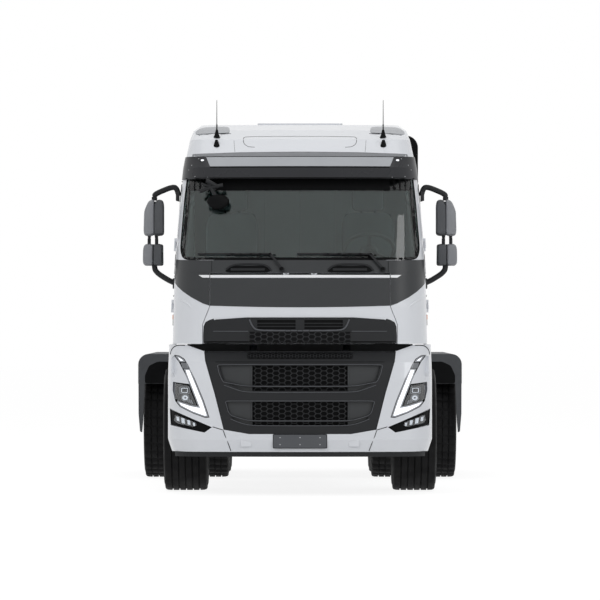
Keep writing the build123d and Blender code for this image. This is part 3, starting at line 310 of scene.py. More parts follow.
camera_data = bpy.data.cameras.new("camera")
camera_data.sensor_width = 36.0
camera_data.lens = camera_data.sensor_width * FOCAL_PIXELS / FRAME_PIXELS
camera_data.clip_end = 400
camera = bpy.data.objects.new("camera", camera_data)
bpy.context.scene.collection.objects.link(camera)
camera.location = (0, FRONT_AXLE_Y - EYE_DISTANCE, EYE_HEIGHT)
tilt = math.atan((HORIZON_PIXEL - FRAME_PIXELS / 2) / FOCAL_PIXELS)
camera.rotation_euler = (math.pi / 2 + tilt, 0, 0)
bpy.context.scene.camera = camera
bpy.context.scene.view_settings.view_transform = "Standard"
print("lens", round(camera_data.lens, 1), "mm, camera at",
    tuple(round(value, 2) for value in camera.location))


# %% Nodes and colours for every material
def add_node(tree, kind, settings=None, links=None):
    """One shader node with its settings and its incoming links."""
    node = tree.nodes.new(kind)
    for key, value in (settings or {}).items():
        if isinstance(key, str) and hasattr(node, key):
            setattr(node, key, value)
        else:
            node.inputs[key].default_value = value
    for key, (source, output) in (links or {}).items():
        tree.links.new(source.outputs[output], node.inputs[key])
    return node


def colour(code):
    """An sRGB hex colour as the linear colour that a shader takes."""
    parts = [int(code[k:k + 2], 16) / 255 for k in (1, 3, 5)]
    linear = [part / 12.92 if part <= 0.04045 else ((part + 0.055) / 1.055) ** 2.4 for part in parts]
    return (*linear, 1.0)


# %% Floor, surround and lamps
def sees_background(tree):
    """1 for what the camera, a reflection or a view through glass sees, else 0."""
    path = add_node(tree, "ShaderNodeLightPath")
    mirror_or_eye = add_node(tree, "ShaderNodeMath", {"operation": "MAXIMUM"},
        {0: (path, "Is Camera Ray"), 1: (path, "Is Glossy Ray")})
    return add_node(tree, "ShaderNodeMath", {"operation": "MAXIMUM"},
        {0: (mirror_or_eye, "Value"), 1: (path, "Is Transmission Ray")})


SURROUND_LIGHT = 0.45
world = bpy.data.worlds.new("studio")
world.use_nodes = True
bpy.context.scene.world = world
sky = world.node_tree
sky.nodes.clear()
seen = sees_background(sky)
level = add_node(sky, "ShaderNodeMapRange", {"To Min": SURROUND_LIGHT, "To Max": 1.0},
    {"Value": (seen, "Value")})
surround = add_node(sky, "ShaderNodeBackground", {"Color": (1, 1, 1, 1)}, {"Strength": (level, "Result")})
add_node(sky, "ShaderNodeOutputWorld", None, {"Surface": (surround, "Background")})

floor_paint = bpy.data.materials.new("studio_floor")
floor_paint.use_nodes = True
tree = floor_paint.node_tree
tree.nodes.clear()
seen = sees_background(tree)
matt = add_node(tree, "ShaderNodeBsdfDiffuse", {"Color": colour("#F4F4F4")})
glow = add_node(tree, "ShaderNodeEmission", {"Color": (1, 1, 1, 1), "Strength": 1.22})
share = add_node(tree, "ShaderNodeMath", {"operation": "MULTIPLY", 1: 0.72}, {0: (seen, "Value")})
mixed = add_node(tree, "ShaderNodeMixShader", None,
    {0: (share, "Value"), 1: (matt, "BSDF"), 2: (glow, "Emission")})
add_node(tree, "ShaderNodeOutputMaterial", None, {"Surface": (mixed, "Shader")})

FLOOR_HALF = 90
floor_mesh = bpy.data.meshes.new("floor")
floor_mesh.from_pydata([(-FLOOR_HALF, -FLOOR_HALF, -0.001), (FLOOR_HALF, -FLOOR_HALF, -0.001),
    (FLOOR_HALF, FLOOR_HALF, -0.001), (-FLOOR_HALF, FLOOR_HALF, -0.001)], [], [(0, 1, 2, 3)])
floor_mesh.materials.append(floor_paint)
floor = bpy.data.objects.new("floor", floor_mesh)
bpy.context.scene.collection.objects.link(floor)

LAMPS = [
    # name, place, width, height, watts
    ("key", (-8, -15, 10), 8, 6, 690),
    ("fill", (10, -12, 6), 6, 6, 380),
    ("top", (0, 1, 12), 9, 12, 240),
]
for name, place, width, height, watts in LAMPS:
    lamp_data = bpy.data.lights.new(name, "AREA")
    lamp_data.shape = "RECTANGLE"
    lamp_data.size = width
    lamp_data.size_y = height
    lamp_data.energy = watts
    lamp = bpy.data.objects.new(name, lamp_data)
    bpy.context.scene.collection.objects.link(lamp)
    lamp.location = place
    lamp.visible_glossy = name != "key"
    lamp.visible_transmission = False
    aim = Vector((0, -1, 1.5)) - Vector(place)
    lamp.rotation_euler = aim.to_track_quat("-Z", "Y").to_euler()
print("lamps", len(LAMPS))
# %% [markdown]
# ## Finishes
# Every finish starts from what the real surface is and how it was made. They share one recipe: a slow noise
# in the object's own metres drifts the colour and the gloss, as dust, handling and uneven curing do, and a
# fine noise raises the surface, as grain or orange peel does. Pattern sizes are the real ones in
# millimetres; grains under a few millimetres are drawn GRAIN_SHOWN times coarser, because a truck fills the
# picture and the true grain would fall between its pixels.

# %% The shared recipe
MM = 0.001
GRAIN_SHOWN = 4


def new_finish(name, pale, dark, rough, rough_spread, patch, grain, relief, values=None):
    """A material whose colour, gloss and relief vary as the real surface's do; sizes in mm."""
    material = bpy.data.materials.new(name)
    material.use_nodes = True
    tree = material.node_tree
    tree.nodes.clear()
    place = add_node(tree, "ShaderNodeTexCoord")
    drift = add_node(tree, "ShaderNodeTexNoise", {"Scale": 1 / (patch * MM), "Detail": 4.0, "Roughness": 0.6},
        {"Vector": (place, "Object")})
    blend = add_node(tree, "ShaderNodeMix", {"data_type": "RGBA", 6: colour(pale), 7: colour(dark)},
        {0: (drift, "Fac")})
    gloss = add_node(tree, "ShaderNodeMapRange",
        {"From Min": 0.3, "From Max": 0.7, "To Min": rough - rough_spread, "To Max": rough + rough_spread},
        {"Value": (drift, "Fac")})
    fine = add_node(tree, "ShaderNodeTexNoise", {"Scale": 1 / (grain * GRAIN_SHOWN * MM), "Detail": 2.0},
        {"Vector": (place, "Object")})
    raised = add_node(tree, "ShaderNodeBump", {"Strength": 0.6, "Distance": relief * MM},
        {"Height": (fine, "Fac")})
    shader = add_node(tree, "ShaderNodeBsdfPrincipled", values,
        {"Base Color": (blend, 2), "Roughness": (gloss, "Result"), "Normal": (raised, "Normal")})
    add_node(tree, "ShaderNodeOutputMaterial", None, {"Surface": (shader, "BSDF")})
    return material


def node_of(material, kind, number=0):
    """A material's node of a kind."""
    return [node for node in material.node_tree.nodes if node.bl_idname == kind][number]


# %% [markdown]
# Cab paint is two-coat acrylic lacquer, sprayed and baked over primed steel: a flat cool white under a
# clear coat. The clear coat gives the sharp highlight, and orange peel, a swell some 6 mm from crest to
# crest, keeps that highlight from being a perfect mirror. Lacquer's IOR is about 1.5.

# %% Sprayed lacquer for the cab
cab_lacquer = new_finish("sprayed_white_lacquer", "#DDE0E5", "#D3D6DC", 0.38, 0.05, 900, 6, 0.12,
    values={"IOR": 1.5, "Coat Weight": 0.7, "Coat Roughness": 0.06, "Coat IOR": 1.5})

# %% [markdown]
# The dark outer trim is polypropylene, injection moulded against a spark-eroded steel tool, which leaves a
# leather-like grain about 1.2 mm wide. It scatters light, so the plastic looks soft and grey where it faces
# the sky. IOR 1.49. The mirror and bracket covers are the same plastic with a paler pigment. The black is the
# same again without the grey of sunlight on it. It is the real colour of small black parts, and it is painted
# shade in the mesh, the slots, the recesses and the gaps.

# %% Moulded plastics
dark_moulding = new_finish("moulded_dark_polypropylene", "#242527", "#242527", 0.52, 0.07, 260, 1.2, 0.25,
    values={"IOR": 1.49, "Specular IOR Level": 0.22})
grey_moulding = new_finish("moulded_grey_polypropylene", "#5A5C60", "#505256", 0.5, 0.06, 200, 1.2, 0.22,
    values={"IOR": 1.49, "Specular IOR Level": 0.25})
pale_moulding = new_finish("moulded_pale_grey_polypropylene", "#8B8D91", "#808286", 0.5, 0.05, 200, 1.2, 0.22,
    values={"IOR": 1.49, "Specular IOR Level": 0.25})
guard_moulding = new_finish("moulded_weathered_polypropylene", "#5A5C5F", "#4C4E51", 0.6, 0.08, 300, 1.5, 0.3,
    values={"IOR": 1.49, "Specular IOR Level": 0.25})
# The black serves two ways: the real colour of small black parts, and painted shade in slots, mesh holes,
# recesses and gaps.
black_moulding_and_shade = new_finish("black_polypropylene_and_painted_shade", "#0F1011", "#0A0A0B", 0.58, 0.06, 120, 1.2, 0.2,
    values={"IOR": 1.49, "Specular IOR Level": 0.08})
satin_panel = new_finish("satin_dark_abs_panel", "#36383A", "#2E3032", 0.36, 0.04, 700, 3, 0.05,
    values={"IOR": 1.54, "Specular IOR Level": 0.3})
visor_acrylic = new_finish("tinted_visor_acrylic", "#323336", "#2A2B2E", 0.3, 0.05, 600, 4, 0.05,
    values={"IOR": 1.49, "Specular IOR Level": 0.2})
silver_film = new_finish("silver_painted_abs", "#9B9EA2", "#909398", 0.36, 0.04, 500, 3, 0.04,
    values={"IOR": 1.54, "Metallic": 0.35})
white_moulding = new_finish("bright_white_abs", "#F1F2F4", "#E6E8EB", 0.3, 0.04, 400, 3, 0.03,
    values={"IOR": 1.54, "Coat Weight": 0.5, "Coat Roughness": 0.1})

# %% [markdown]
# The frame is powder coated: dry paint powder melted on in an oven, which flows out into a slight peel and
# a half gloss. Axles and springs are cast and rolled steel under a thinner black paint, rough from the sand
# of the mould, with a brown cast where dust and rust come through.

# %% Chassis coats and castings
frame_coat = new_finish("powder_coated_steel", "#2E3032", "#242628", 0.46, 0.1, 350, 5, 0.25,
    values={"IOR": 1.5})
casting = new_finish("painted_iron_casting", "#2B2A29", "#3B3531", 0.74, 0.1, 140, 2.5, 0.7,
    values={"IOR": 1.5})
bright_steel = new_finish("zinc_plated_steel", "#B9BBBD", "#A2A4A6", 0.34, 0.08, 60, 1.5, 0.05,
    values={"Metallic": 1.0})
worn_steel = new_finish("greased_worn_steel", "#57534D", "#2A2724", 0.4, 0.16, 90, 3, 0.25,
    values={"Metallic": 0.85})
rim_enamel = new_finish("silver_enamelled_steel", "#C6C8CB", "#B1B4B8", 0.33, 0.06, 160, 3, 0.06,
    values={"Metallic": 0.45, "Coat Weight": 0.3, "Coat Roughness": 0.15})
mirror_metal = new_finish("vacuum_metallised_reflector", "#E3E5E8", "#D5D8DC", 0.1, 0.03, 40, 4, 0.03,
    values={"Metallic": 1.0})

# %% [markdown]
# Fuel tanks are rolled from bright aluminium sheet. Rolling leaves fine lines along the sheet, so its gloss
# is wider across them than along them. A noise squeezed along one axis draws them: its lines run the length
# of the tank, and a millimetre or so apart, drawn coarser as the other grains are.

# %% Rolled aluminium
tank_metal = new_finish("rolled_aluminium", "#C9CCCF", "#B4B7BB", 0.3, 0.05, 400, 1.5, 0.08,
    values={"Metallic": 1.0, "Anisotropic": 0.4})
tree = tank_metal.node_tree
stretch = add_node(tree, "ShaderNodeMapping", {"Scale": (1.0, 0.03, 1.0)},
    {"Vector": (node_of(tank_metal, "ShaderNodeTexCoord"), "Object")})
tree.links.new(stretch.outputs["Vector"], node_of(tank_metal, "ShaderNodeTexNoise", 1).inputs["Vector"])

# %% [markdown]
# The deck plate between the cab and the coupling is aluminium tread plate: raised bars in pairs, turned 90
# degrees from one pair to the next, about 30 mm apart, so that a boot grips. Two waves of crossed bands,
# chosen by a checker of the same pitch, give those bars as relief.

# %% Tread plate
tread_plate = new_finish("aluminium_tread_plate", "#A9ACAF", "#8C8F93", 0.42, 0.1, 200, 2, 0.1,
    values={"Metallic": 0.9})
tree = tread_plate.node_tree
place = node_of(tread_plate, "ShaderNodeTexCoord")
BAR_PITCH = 30
turned_place = add_node(tree, "ShaderNodeMapping", {"Rotation": (0, 0, math.pi / 4)},
    {"Vector": (place, "Object")})
bars = [add_node(tree, "ShaderNodeTexWave", {"wave_type": "BANDS", "bands_direction": direction,
    "Scale": 1000 / BAR_PITCH / 20 * 2 * math.pi, "Distortion": 0.0}, {"Vector": (turned_place, "Vector")})
    for direction in ("X", "Y")]
squares = add_node(tree, "ShaderNodeTexChecker", {"Scale": 1000 / BAR_PITCH, "Color1": (1, 1, 1, 1),
    "Color2": (0, 0, 0, 1)}, {"Vector": (turned_place, "Vector")})
chosen = add_node(tree, "ShaderNodeMix", {"data_type": "FLOAT"}, {0: (squares, "Color"), 2: (bars[0], "Fac"),
    3: (bars[1], "Fac")})
plate_relief = add_node(tree, "ShaderNodeBump", {"Strength": 0.8, "Distance": 2 * MM},
    {"Height": (chosen, 0)})
tree.links.new(plate_relief.outputs["Normal"],
    node_of(tread_plate, "ShaderNodeBsdfPrincipled").inputs["Normal"])

# %% [markdown]
# Tyres are carbon-black rubber, pressed and cured in a steel mould. New rubber is nearly black and has a
# soft waxy sheen; road dust greys it in patches. Rubber's IOR is 1.52. Window seals are the same stuff,
# extruded.

# %% Rubber
tyre_rubber = new_finish("moulded_tyre_rubber", "#1B1B1C", "#121213", 0.72, 0.1, 120, 2.0, 0.6,
    values={"IOR": 1.52, "Specular IOR Level": 0.14})
seal_rubber = new_finish("extruded_seal_rubber", "#121314", "#0C0D0E", 0.6, 0.06, 90, 2.0, 0.15,
    values={"IOR": 1.52, "Specular IOR Level": 0.12})

# %% [markdown]
# Windows are laminated glass: float glass with a green cast, darker here because the cab behind it is dim.
# The glass itself stays clear and smooth, IOR 1.52; its tint is a pale green that deepens along its edges.
# A very faint ripple from the rollers bends the reflections a little. Lamp covers are clear polycarbonate,
# IOR 1.58, and the tail lamps' lenses are red acrylic, IOR 1.49.

# %% Glass and lenses
def new_glass(name, tint, ior, ripple, rough=0.0):
    """A clear solid with a tint and a faint ripple."""
    material = bpy.data.materials.new(name)
    material.use_nodes = True
    tree = material.node_tree
    tree.nodes.clear()
    place = add_node(tree, "ShaderNodeTexCoord")
    swell = add_node(tree, "ShaderNodeTexNoise", {"Scale": 3.0, "Detail": 1.0}, {"Vector": (place, "Object")})
    raised = add_node(tree, "ShaderNodeBump", {"Strength": 0.3, "Distance": ripple * MM},
        {"Height": (swell, "Fac")})
    shader = add_node(tree, "ShaderNodeBsdfPrincipled",
        {"Base Color": colour(tint), "IOR": ior, "Roughness": rough, "Transmission Weight": 1.0,
        "Specular IOR Level": 0.35}, {"Normal": (raised, "Normal")})
    add_node(tree, "ShaderNodeOutputMaterial", None, {"Surface": (shader, "BSDF")})
    return material


screen_glass = new_glass("laminated_green_glass", "#BFD3CF", 1.52, 2.0)
clear_cover = new_glass("clear_polycarbonate", "#F4F7FA", 1.58, 0.5)
red_lens = new_finish("red_acrylic_lens", "#B01016", "#8E0A10", 0.16, 0.04, 60, 3, 0.2,
    values={"IOR": 1.49, "Coat Weight": 0.6, "Coat Roughness": 0.05})
amber_lens = new_finish("amber_acrylic_lens", "#D9791A", "#C2640E", 0.18, 0.04, 60, 3, 0.2,
    values={"IOR": 1.49, "Coat Weight": 0.6})

# %% [markdown]
# The daytime light is a row of LEDs behind a milky bar. Lit, the bar is the brightest thing on the truck,
# so it glows a little over white; unlit it would be a pale satin plastic.

# %% Lit bar
lit_bar = new_finish("lit_opal_polycarbonate", "#FAFBFF", "#F2F5FA", 0.25, 0.03, 50, 3, 0.02,
    values={"IOR": 1.58, "Emission Color": colour("#F6F9FF"), "Emission Strength": 0.55})

# %% [markdown]
# Seats and the bunk are upholstered in woven polyester, its threads about 1.5 mm apart. Two crossed waves
# make the over-and-under of the weave. Fabric has a soft sheen at grazing angles, from the fibre ends.

# %% Woven cloth and leather
def new_cloth(name, pale, dark, thread):
    """Upholstery cloth: a plain weave of threads this many millimetres apart."""
    material = new_finish(name, pale, dark, 0.85, 0.06, 120, 1.0, 0.1,
        values={"Sheen Weight": 0.25, "IOR": 1.5})
    tree = material.node_tree
    place = node_of(material, "ShaderNodeTexCoord")
    waves = [add_node(tree, "ShaderNodeTexWave", {"bands_direction": direction, "Distortion": 0.6,
        "Scale": 1000 / (thread * GRAIN_SHOWN) / 20 * 2 * math.pi}, {"Vector": (place, "Object")})
        for direction in ("X", "Z")]
    weave = add_node(tree, "ShaderNodeMath", {"operation": "MAXIMUM"},
        {0: (waves[0], "Fac"), 1: (waves[1], "Fac")})
    raised = add_node(tree, "ShaderNodeBump", {"Strength": 0.5, "Distance": 0.6 * MM},
        {"Height": (weave, "Value")})
    tree.links.new(raised.outputs["Normal"], node_of(material, "ShaderNodeBsdfPrincipled").inputs["Normal"])
    return material


seat_cloth = new_cloth("woven_grey_polyester", "#5E6267", "#4B4F54", 1.5)
bunk_cloth = new_cloth("woven_pale_polyester", "#8B8D90", "#7A7C80", 2.0)
wheel_leather = new_finish("stitched_black_leather", "#4A4B4D", "#3B3C3E", 0.5, 0.07, 60, 1.6, 0.3,
    values={"IOR": 1.5})
headlining = new_finish("felted_cab_lining", "#8F9294", "#838689", 0.9, 0.04, 150, 1.5, 0.06,
    values={"Sheen Weight": 0.2})

# %% [markdown]
# Each carried-over CAD node now gets its finish. A node's mesh keeps its shape; only its material slots
# change.

# %% Dress the CAD nodes
FINISHES = {
    cab_lacquer: ["cab_front", "cab_side_left", "cab_side_right", "cab_back", "cab_roof", "lid_panel",
                  "door_left", "door_right", "roof_hatch", "bumper"],
    guard_moulding: ["front_mudguards", "rear_mudguards"],
    dark_moulding: ["lid_grille", "lower_grille", "bumper_lip", "entry_steps",
                    "side_boxes", "mirrors_left", "mirrors_right", "cab_fittings", "wipers"],
    visor_acrylic: ["sun_visor"],
    black_moulding_and_shade: ["air_intake", "radiator", "dashboard"],
    frame_coat: ["frame", "fifth_wheel_base"],
    casting: ["front_axle", "driveline", "springs", "engine", "knuckle_left", "knuckle_right", "tie_rod"],
    screen_glass: ["windshield", "door_glass_left", "door_glass_right"],
    clear_cover: ["front_lamps"],
    red_lens: ["tail_lamps"],
    tank_metal: ["fuel_tank"],
    tread_plate: ["deck_plate"],
    worn_steel: ["fifth_wheel_plate"],
    headlining: ["cab_floor"],
    seat_cloth: ["seats"],
    bunk_cloth: ["bunk"],
    wheel_leather: ["steering_wheel"],
    rim_enamel: [name for name in nodes if name.startswith("rim")],
    tyre_rubber: [name for name in nodes if name.startswith("tyre")],
}
for material, names in FINISHES.items():
    for name in names:
        nodes[name].data.materials.clear()
        nodes[name].data.materials.append(material)
        nodes[name].data.shade_smooth()
        nodes[name].data.set_sharp_from_angle(angle=math.radians(CAD_EDGE_ANGLE))
dressed = [name for names in FINISHES.values() for name in names]
print("dressed nodes", len(dressed), "left plain", sorted(set(nodes) - set(dressed)))

# %% [markdown]
# ## The lid, the dark band and the cowl
# The front lid is white sheet steel below and a dark satin panel above, with a bright strip along its top.
# The dark panel goes on round the corners of the cab, where its lower edge sweeps up to the doors. All of
# it is thin trim, so it is drawn as front-view outlines and dropped on the skins that carry it: what lies
# on the lid rides with the lid, and what lies beside it stays on the cab.

# %% Skins and the dark band
SIDES = ((1, "left"), (-1, "right"))
cab_skin = skin_of("cab_front")
lid_skin = skin_of("lid_panel")
LID_HALF_WIDTH = 0.7655
BESIDE_LID = 0.7725
FINE_STEP = 0.01  # a film on a strongly curved skin needs closer rays, or its chords cut behind the skin
BAND_TOP = 1.858
BAND_BOTTOM = 1.622
FILM = 0.003


def on_side(outline, side):
    """A front-view outline for the left (+1) or right (-1) side."""
    return [(side * u, v) for u, v in outline]


def draped_piece(name, outline, tree, view, material, body, thick=FILM, stand=FILM, bevel=0.001, step=0.05,
        **more):
    """A single draped panel as a finished piece."""
    return piece(name, add_draped(bmesh.new(), outline, tree, view, thick, stand, step), material, body,
        bevel=bevel, **more)


band_foot = [(LID_HALF_WIDTH * share, BAND_BOTTOM - 0.014 * (1 - share ** 2))
    for share in [k / 4 for k in range(-4, 5)]]
draped_piece("lid_dark_panel", band_foot + [(LID_HALF_WIDTH, BAND_TOP), (-LID_HALF_WIDTH, BAND_TOP)],
    lid_skin, "front", satin_panel, "front_lid", slot="dark_plastic")
CORNER_BAND = [(BESIDE_LID, 1.622), (0.83, 1.642), (0.93, 1.694), (1.0, 1.742), (1.045, 1.782),
    (1.079, 1.822), (1.0735, 1.925), (0.97, 1.918), (0.87, 1.907), (BESIDE_LID, 1.902)]
for side, word in SIDES:
    draped_piece(f"corner_band_{word}", on_side(CORNER_BAND, side), cab_skin, "front", satin_panel, "cab",
        slot="dark_plastic", step=FINE_STEP)

# %% Bright strip along the lid's top edge
STRIP_LOW = 1.861
STRIP_HIGH = 1.884
draped_piece("lid_bright_strip", box_outline(-LID_HALF_WIDTH, LID_HALF_WIDTH, STRIP_LOW, STRIP_HIGH),
    lid_skin, "front", white_moulding, "front_lid", thick=0.006, stand=0.006, bevel=0.002)
for side, word in SIDES:
    end = [(BESIDE_LID, STRIP_LOW), (0.832, STRIP_LOW), (0.866, STRIP_HIGH), (BESIDE_LID, STRIP_HIGH)]
    draped_piece(f"strip_end_{word}", on_side(end, side), cab_skin, "front", white_moulding, "cab",
        thick=0.006, stand=0.007, bevel=0.002)

# %% [markdown]
# Panel gaps read as dark lines only if nothing white shows at their bottoms, so thin black films of painted
# shade lie in them here: under the lid's top edge, along its sides, on the edge of the cab over the bumper
# and along the top of the bumper. The lid's grille reaches its lower edge and its sides.

# %% Painted shade in the gaps
bumper_skin = skin_of("bumper", "lower_grille")
lid_and_grille = skin_of("lid_panel", "lid_grille")
# Black films of painted shade in the gaps. The lid grille's foot is a black film that carries the grille down
# to the lid's lower edge.
GAP_SHADE_FILMS = [
    # name, skin, body, half width, low, high
    ("lid_top_gap_shade", cab_skin, "cab", 0.767, 1.8865, 1.8965),
    ("cab_edge_gap_shade", cab_skin, "cab", 0.815, 1.2965, 1.304),
    ("lid_grille_foot", lid_and_grille, "front_lid", 0.822, 1.3045, 1.3195),
    ("bumper_top_gap_shade", bumper_skin, "chassis", 0.816, 1.2313, 1.2388),
]
for name, tree, body, half, low, high in GAP_SHADE_FILMS:
    draped_piece(name, box_outline(-half, half, low, high), tree, "front", black_moulding_and_shade, body, thick=0.002,
        stand=0.001, bevel=0)
# Small black films of painted shade over the hinges in the lid's top gap.
HINGE_SHADES = (("lid_hinge_shade", lid_skin, "front_lid", 0.109, 0.126),
    ("cab_hinge_shade", cab_skin, "cab", 0.136, 0.146))
LID_SIDE_TRIM = [(0.808, 1.3195), (0.8262, 1.3045), (0.8258, 1.38), (0.822, 1.445), (0.806, 1.482),
    (0.772, 1.5), (0.738, 1.511), (0.722, 1.488), (0.752, 1.47), (0.774, 1.45), (0.786, 1.425), (0.794, 1.39)]
for side, word in SIDES:
    draped_piece(f"lid_grille_side_{word}", on_side(LID_SIDE_TRIM, side), lid_and_grille, "front",
        dark_moulding, "front_lid", thick=0.002, stand=0.0015, bevel=0)
    for name, tree, body, x0, x1 in HINGE_SHADES:
        cap = on_side(box_outline(x0, x1, 1.887, 1.894), side)
        draped_piece(f"{name}_{word}", cap, tree, "front", black_moulding_and_shade, body, thick=0.0005, stand=0.0003,
            bevel=0)
    # A black film of painted shade in the narrow gap along each side of the lid.
    slit = box_outline(0.7680, 0.7712, 1.61, 1.884)
    draped_piece(f"lid_side_gap_shade_{word}", on_side(slit, side), cab_skin, "front", black_moulding_and_shade, "cab",
        thick=0.002, stand=0.001, bevel=0)

# %% [markdown]
# Between the strip and the windshield lies the cowl, a dark moulding that carries the wipers. Two long
# recesses in it are handholds for cleaning the glass. Each is a shallow well with a raised lip over it: the
# shade in the well is painted as a black panel, and the lip is a swept bead round its upper edge.

# %% Cowl with its handholds
COWL_LOW = 1.9008
COWL_HIGH = 2.0105
COWL = [(-0.774, COWL_LOW), (0.774, COWL_LOW), (0.87, 1.906), (0.97, 1.917), (1.073, 1.925), (1.068, 2.02),
    (1.02, 2.015), (0.86, COWL_HIGH), (-0.86, COWL_HIGH), (-1.02, 2.015), (-1.068, 2.02), (-1.073, 1.925),
    (-0.97, 1.917), (-0.87, 1.906)]
draped_piece("cowl", COWL, cab_skin, "front", satin_panel, "cab", thick=0.006, stand=0.006, bevel=0.0015,
    slot="dark_plastic", step=FINE_STEP)
HANDHOLDS = [(-0.64, -0.25), (0.23, 0.62)]
for number, (x0, x1) in enumerate(HANDHOLDS):
    # Painted shade: the well's shade is a black panel standing on the cowl.
    well = [(x0, 1.915), (x0 + 0.03, 1.904), (x1 - 0.03, 1.904), (x1, 1.92), (x1 - 0.02, 1.95),
        (x1 - 0.06, 1.962), (x0 + 0.08, 1.962), (x0 + 0.03, 1.945)]
    draped_piece(f"handhold_shade_{number}", rounded(well, 0.012), cab_skin, "front", black_moulding_and_shade, "cab",
        stand=0.0085)
    lip_line = [(x0 + 0.01, 1.93), (x0 + 0.04, 1.955), (x0 + 0.09, 1.972), ((x0 + x1) / 2, 1.977),
        (x1 - 0.06, 1.972), (x1 - 0.015, 1.95), (x1 + 0.005, 1.92)]
    lip = add_rod(bmesh.new(), smooth_path(on_line(cab_skin, "front", lip_line, 0.008)), 0.009)
    add_rod(lip, [on_skin(cab_skin, "front", x0 + 0.05 + (x1 - x0 - 0.1) * k / 6, 1.93, 0.011)
        for k in range(7)], 0.008, flat=1.4)
    piece(f"handhold_lip_{number}", lip, dark_moulding, "cab")

# %% [markdown]
# Panel gaps are what make a body read as pressed panels. The lid's own gap is real in the frame. Its line
# goes on up through the cowl, and on the white corner a pressed crease catches the light: the crease is a
# slim raised bead of the same lacquer, thinned to nothing at its ends.

# %% Cowl seams and corner creases
for side, word in SIDES:
    seam = [on_skin(cab_skin, "front", side * 0.753, z, 0.0068)
        for z in (COWL_LOW + 0.004, 1.95, COWL_HIGH - 0.004)]
    piece(f"cowl_seam_{word}", add_rod(bmesh.new(), seam, 0.0018, sides=6), black_moulding_and_shade, "cab")
    crease_line = [(1.066, 1.688), (1.03, 1.676), (0.975, 1.653), (0.938, 1.62), (0.924, 1.585)]
    crease_points = smooth_path(on_line(cab_skin, "front", on_side(crease_line, side), -0.004), 8)
    crease_radii = [0.0045 + 0.008 * math.sin(math.pi * k / (len(crease_points) - 1))
        for k in range(len(crease_points))]
    piece(f"corner_crease_{word}", add_rod(bmesh.new(), crease_points, crease_radii, sides=14), cab_lacquer,
        "cab", slot="cab_paint")

# %% [markdown]
# The lid's grille has two long air slots over a row of honeycomb. Honeycomb is the stiffest open mesh for
# its weight and moulds in one shot: hexagons about 68 by 41 mm whose walls are shared. Each cell is made as
# a six-sided ring, and rings laid at the mesh's pitch meet along their walls.

# %% Honeycomb
CELL_WIDE = 0.068
CELL_TALL = 0.041
CELL_WALL = 0.0034
HEXAGON = ((-1, 0), (-0.5, 1), (0.5, 1), (1, 0), (0.5, -1), (-0.5, -1))


def add_honeycomb(shape, x0, x1, z0, z1, place, deep, wide=CELL_WIDE, tall=CELL_TALL, wall=CELL_WALL,
        trim=True):
    """Hexagon rings over a rectangle; place gives a corner's point, trim drops cells past its edges."""
    columns = int((x1 - x0) / (wide * 0.75)) + 1
    rows = int((z1 - z0) / tall) + (1 if trim else 2)
    for column in range(columns):
        x = (x0 + x1) / 2 + (column - (columns - 1) / 2) * wide * 0.75
        for row in range(rows):
            z = (z0 + z1) / 2 + (row - (rows - 1) / 2) * tall + (tall / 2 if column % 2 else 0)
            if trim and not (z0 <= z <= z1 and x0 <= x <= x1):
                continue
            rings = []
            for grow in (1.0, 1.0 - 2 * wall / tall):
                face = [shape.verts.new(place(x + wide / 2 * grow * a, z + tall / 2 * grow * b)) for a,
                    b in HEXAGON]
                rings.append((face, [shape.verts.new(vertex.co + Vector((0, deep, 0))) for vertex in face]))
            (outer, outer_back), (inner, inner_back) = rings
            for k in range(6):
                shape.faces.new([outer[k - 1], outer[k], inner[k], inner[k - 1]])
                shape.faces.new([inner[k - 1], inner[k], inner_back[k], inner_back[k - 1]])
                shape.faces.new([outer_back[k], outer_back[k - 1], inner_back[k - 1], inner_back[k]])
                if trim:
                    shape.faces.new([outer[k], outer[k - 1], outer_back[k - 1], outer_back[k]])
    return shape


lid_grille_skin = skin_of("lid_grille")
hex_row = add_honeycomb(bmesh.new(), -0.41, 0.41, 1.315, 1.40, lambda u,
    v: on_skin(lid_grille_skin, "front", u, v, 0.004), 0.006)
piece("lid_honeycomb", hex_row, dark_moulding, "front_lid", edge_angle=25)
# Painted shade: a black film behind the honeycomb darkens its open cells.
draped_piece("lid_mesh_shade", soft_box(-0.43, 0.43, 1.316, 1.4, 0.01), lid_grille_skin, "front",
    black_moulding_and_shade, "front_lid", thick=0.001, stand=0.0015, bevel=0)
# Painted shade: the two air slots are black films on the lid, standing for the dark depth of their openings.
for number, (x0, x1) in enumerate([(-0.372, -0.03), (0.03, 0.372)]):
    draped_piece(f"lid_slot_shade_{number}", box_outline(x0, x1, 1.42, 1.5), lid_skin, "front", black_moulding_and_shade,
        "front_lid", thick=0.001, stand=0.002, bevel=0)
ledge_line = [(-0.43, 1.505), (-0.41, 1.455), (-0.375, 1.414), (-0.2, 1.409), (0.2, 1.409), (0.365, 1.414),
    (0.4, 1.455), (0.42, 1.505)]
ledge = add_rod(bmesh.new(), smooth_path(on_line(lid_grille_skin, "front", ledge_line, 0.001)), 0.0065)
piece("lid_grille_ledge", ledge, grey_moulding, "front_lid")
for side, word in SIDES:
    line = [on_skin(lid_grille_skin, "front", side * x, 1.404) for x in (0.44, 0.52, 0.6, 0.68, 0.74)]
    piece(f"lid_grille_line_{word}", add_rod(bmesh.new(), line, 0.003, sides=8), grey_moulding, "front_lid")
print("lid pieces done")

# %% [markdown]
# ## Lower grille
# The dark panel under the lid is open in two places. Behind each opening hangs a honeycomb screen, blanked
# off towards its ends where no air is wanted, and along its upper edge a shallow strip repeats the hexagons
# small. The screen sits just behind the panel, so the panel's own thickness frames it.

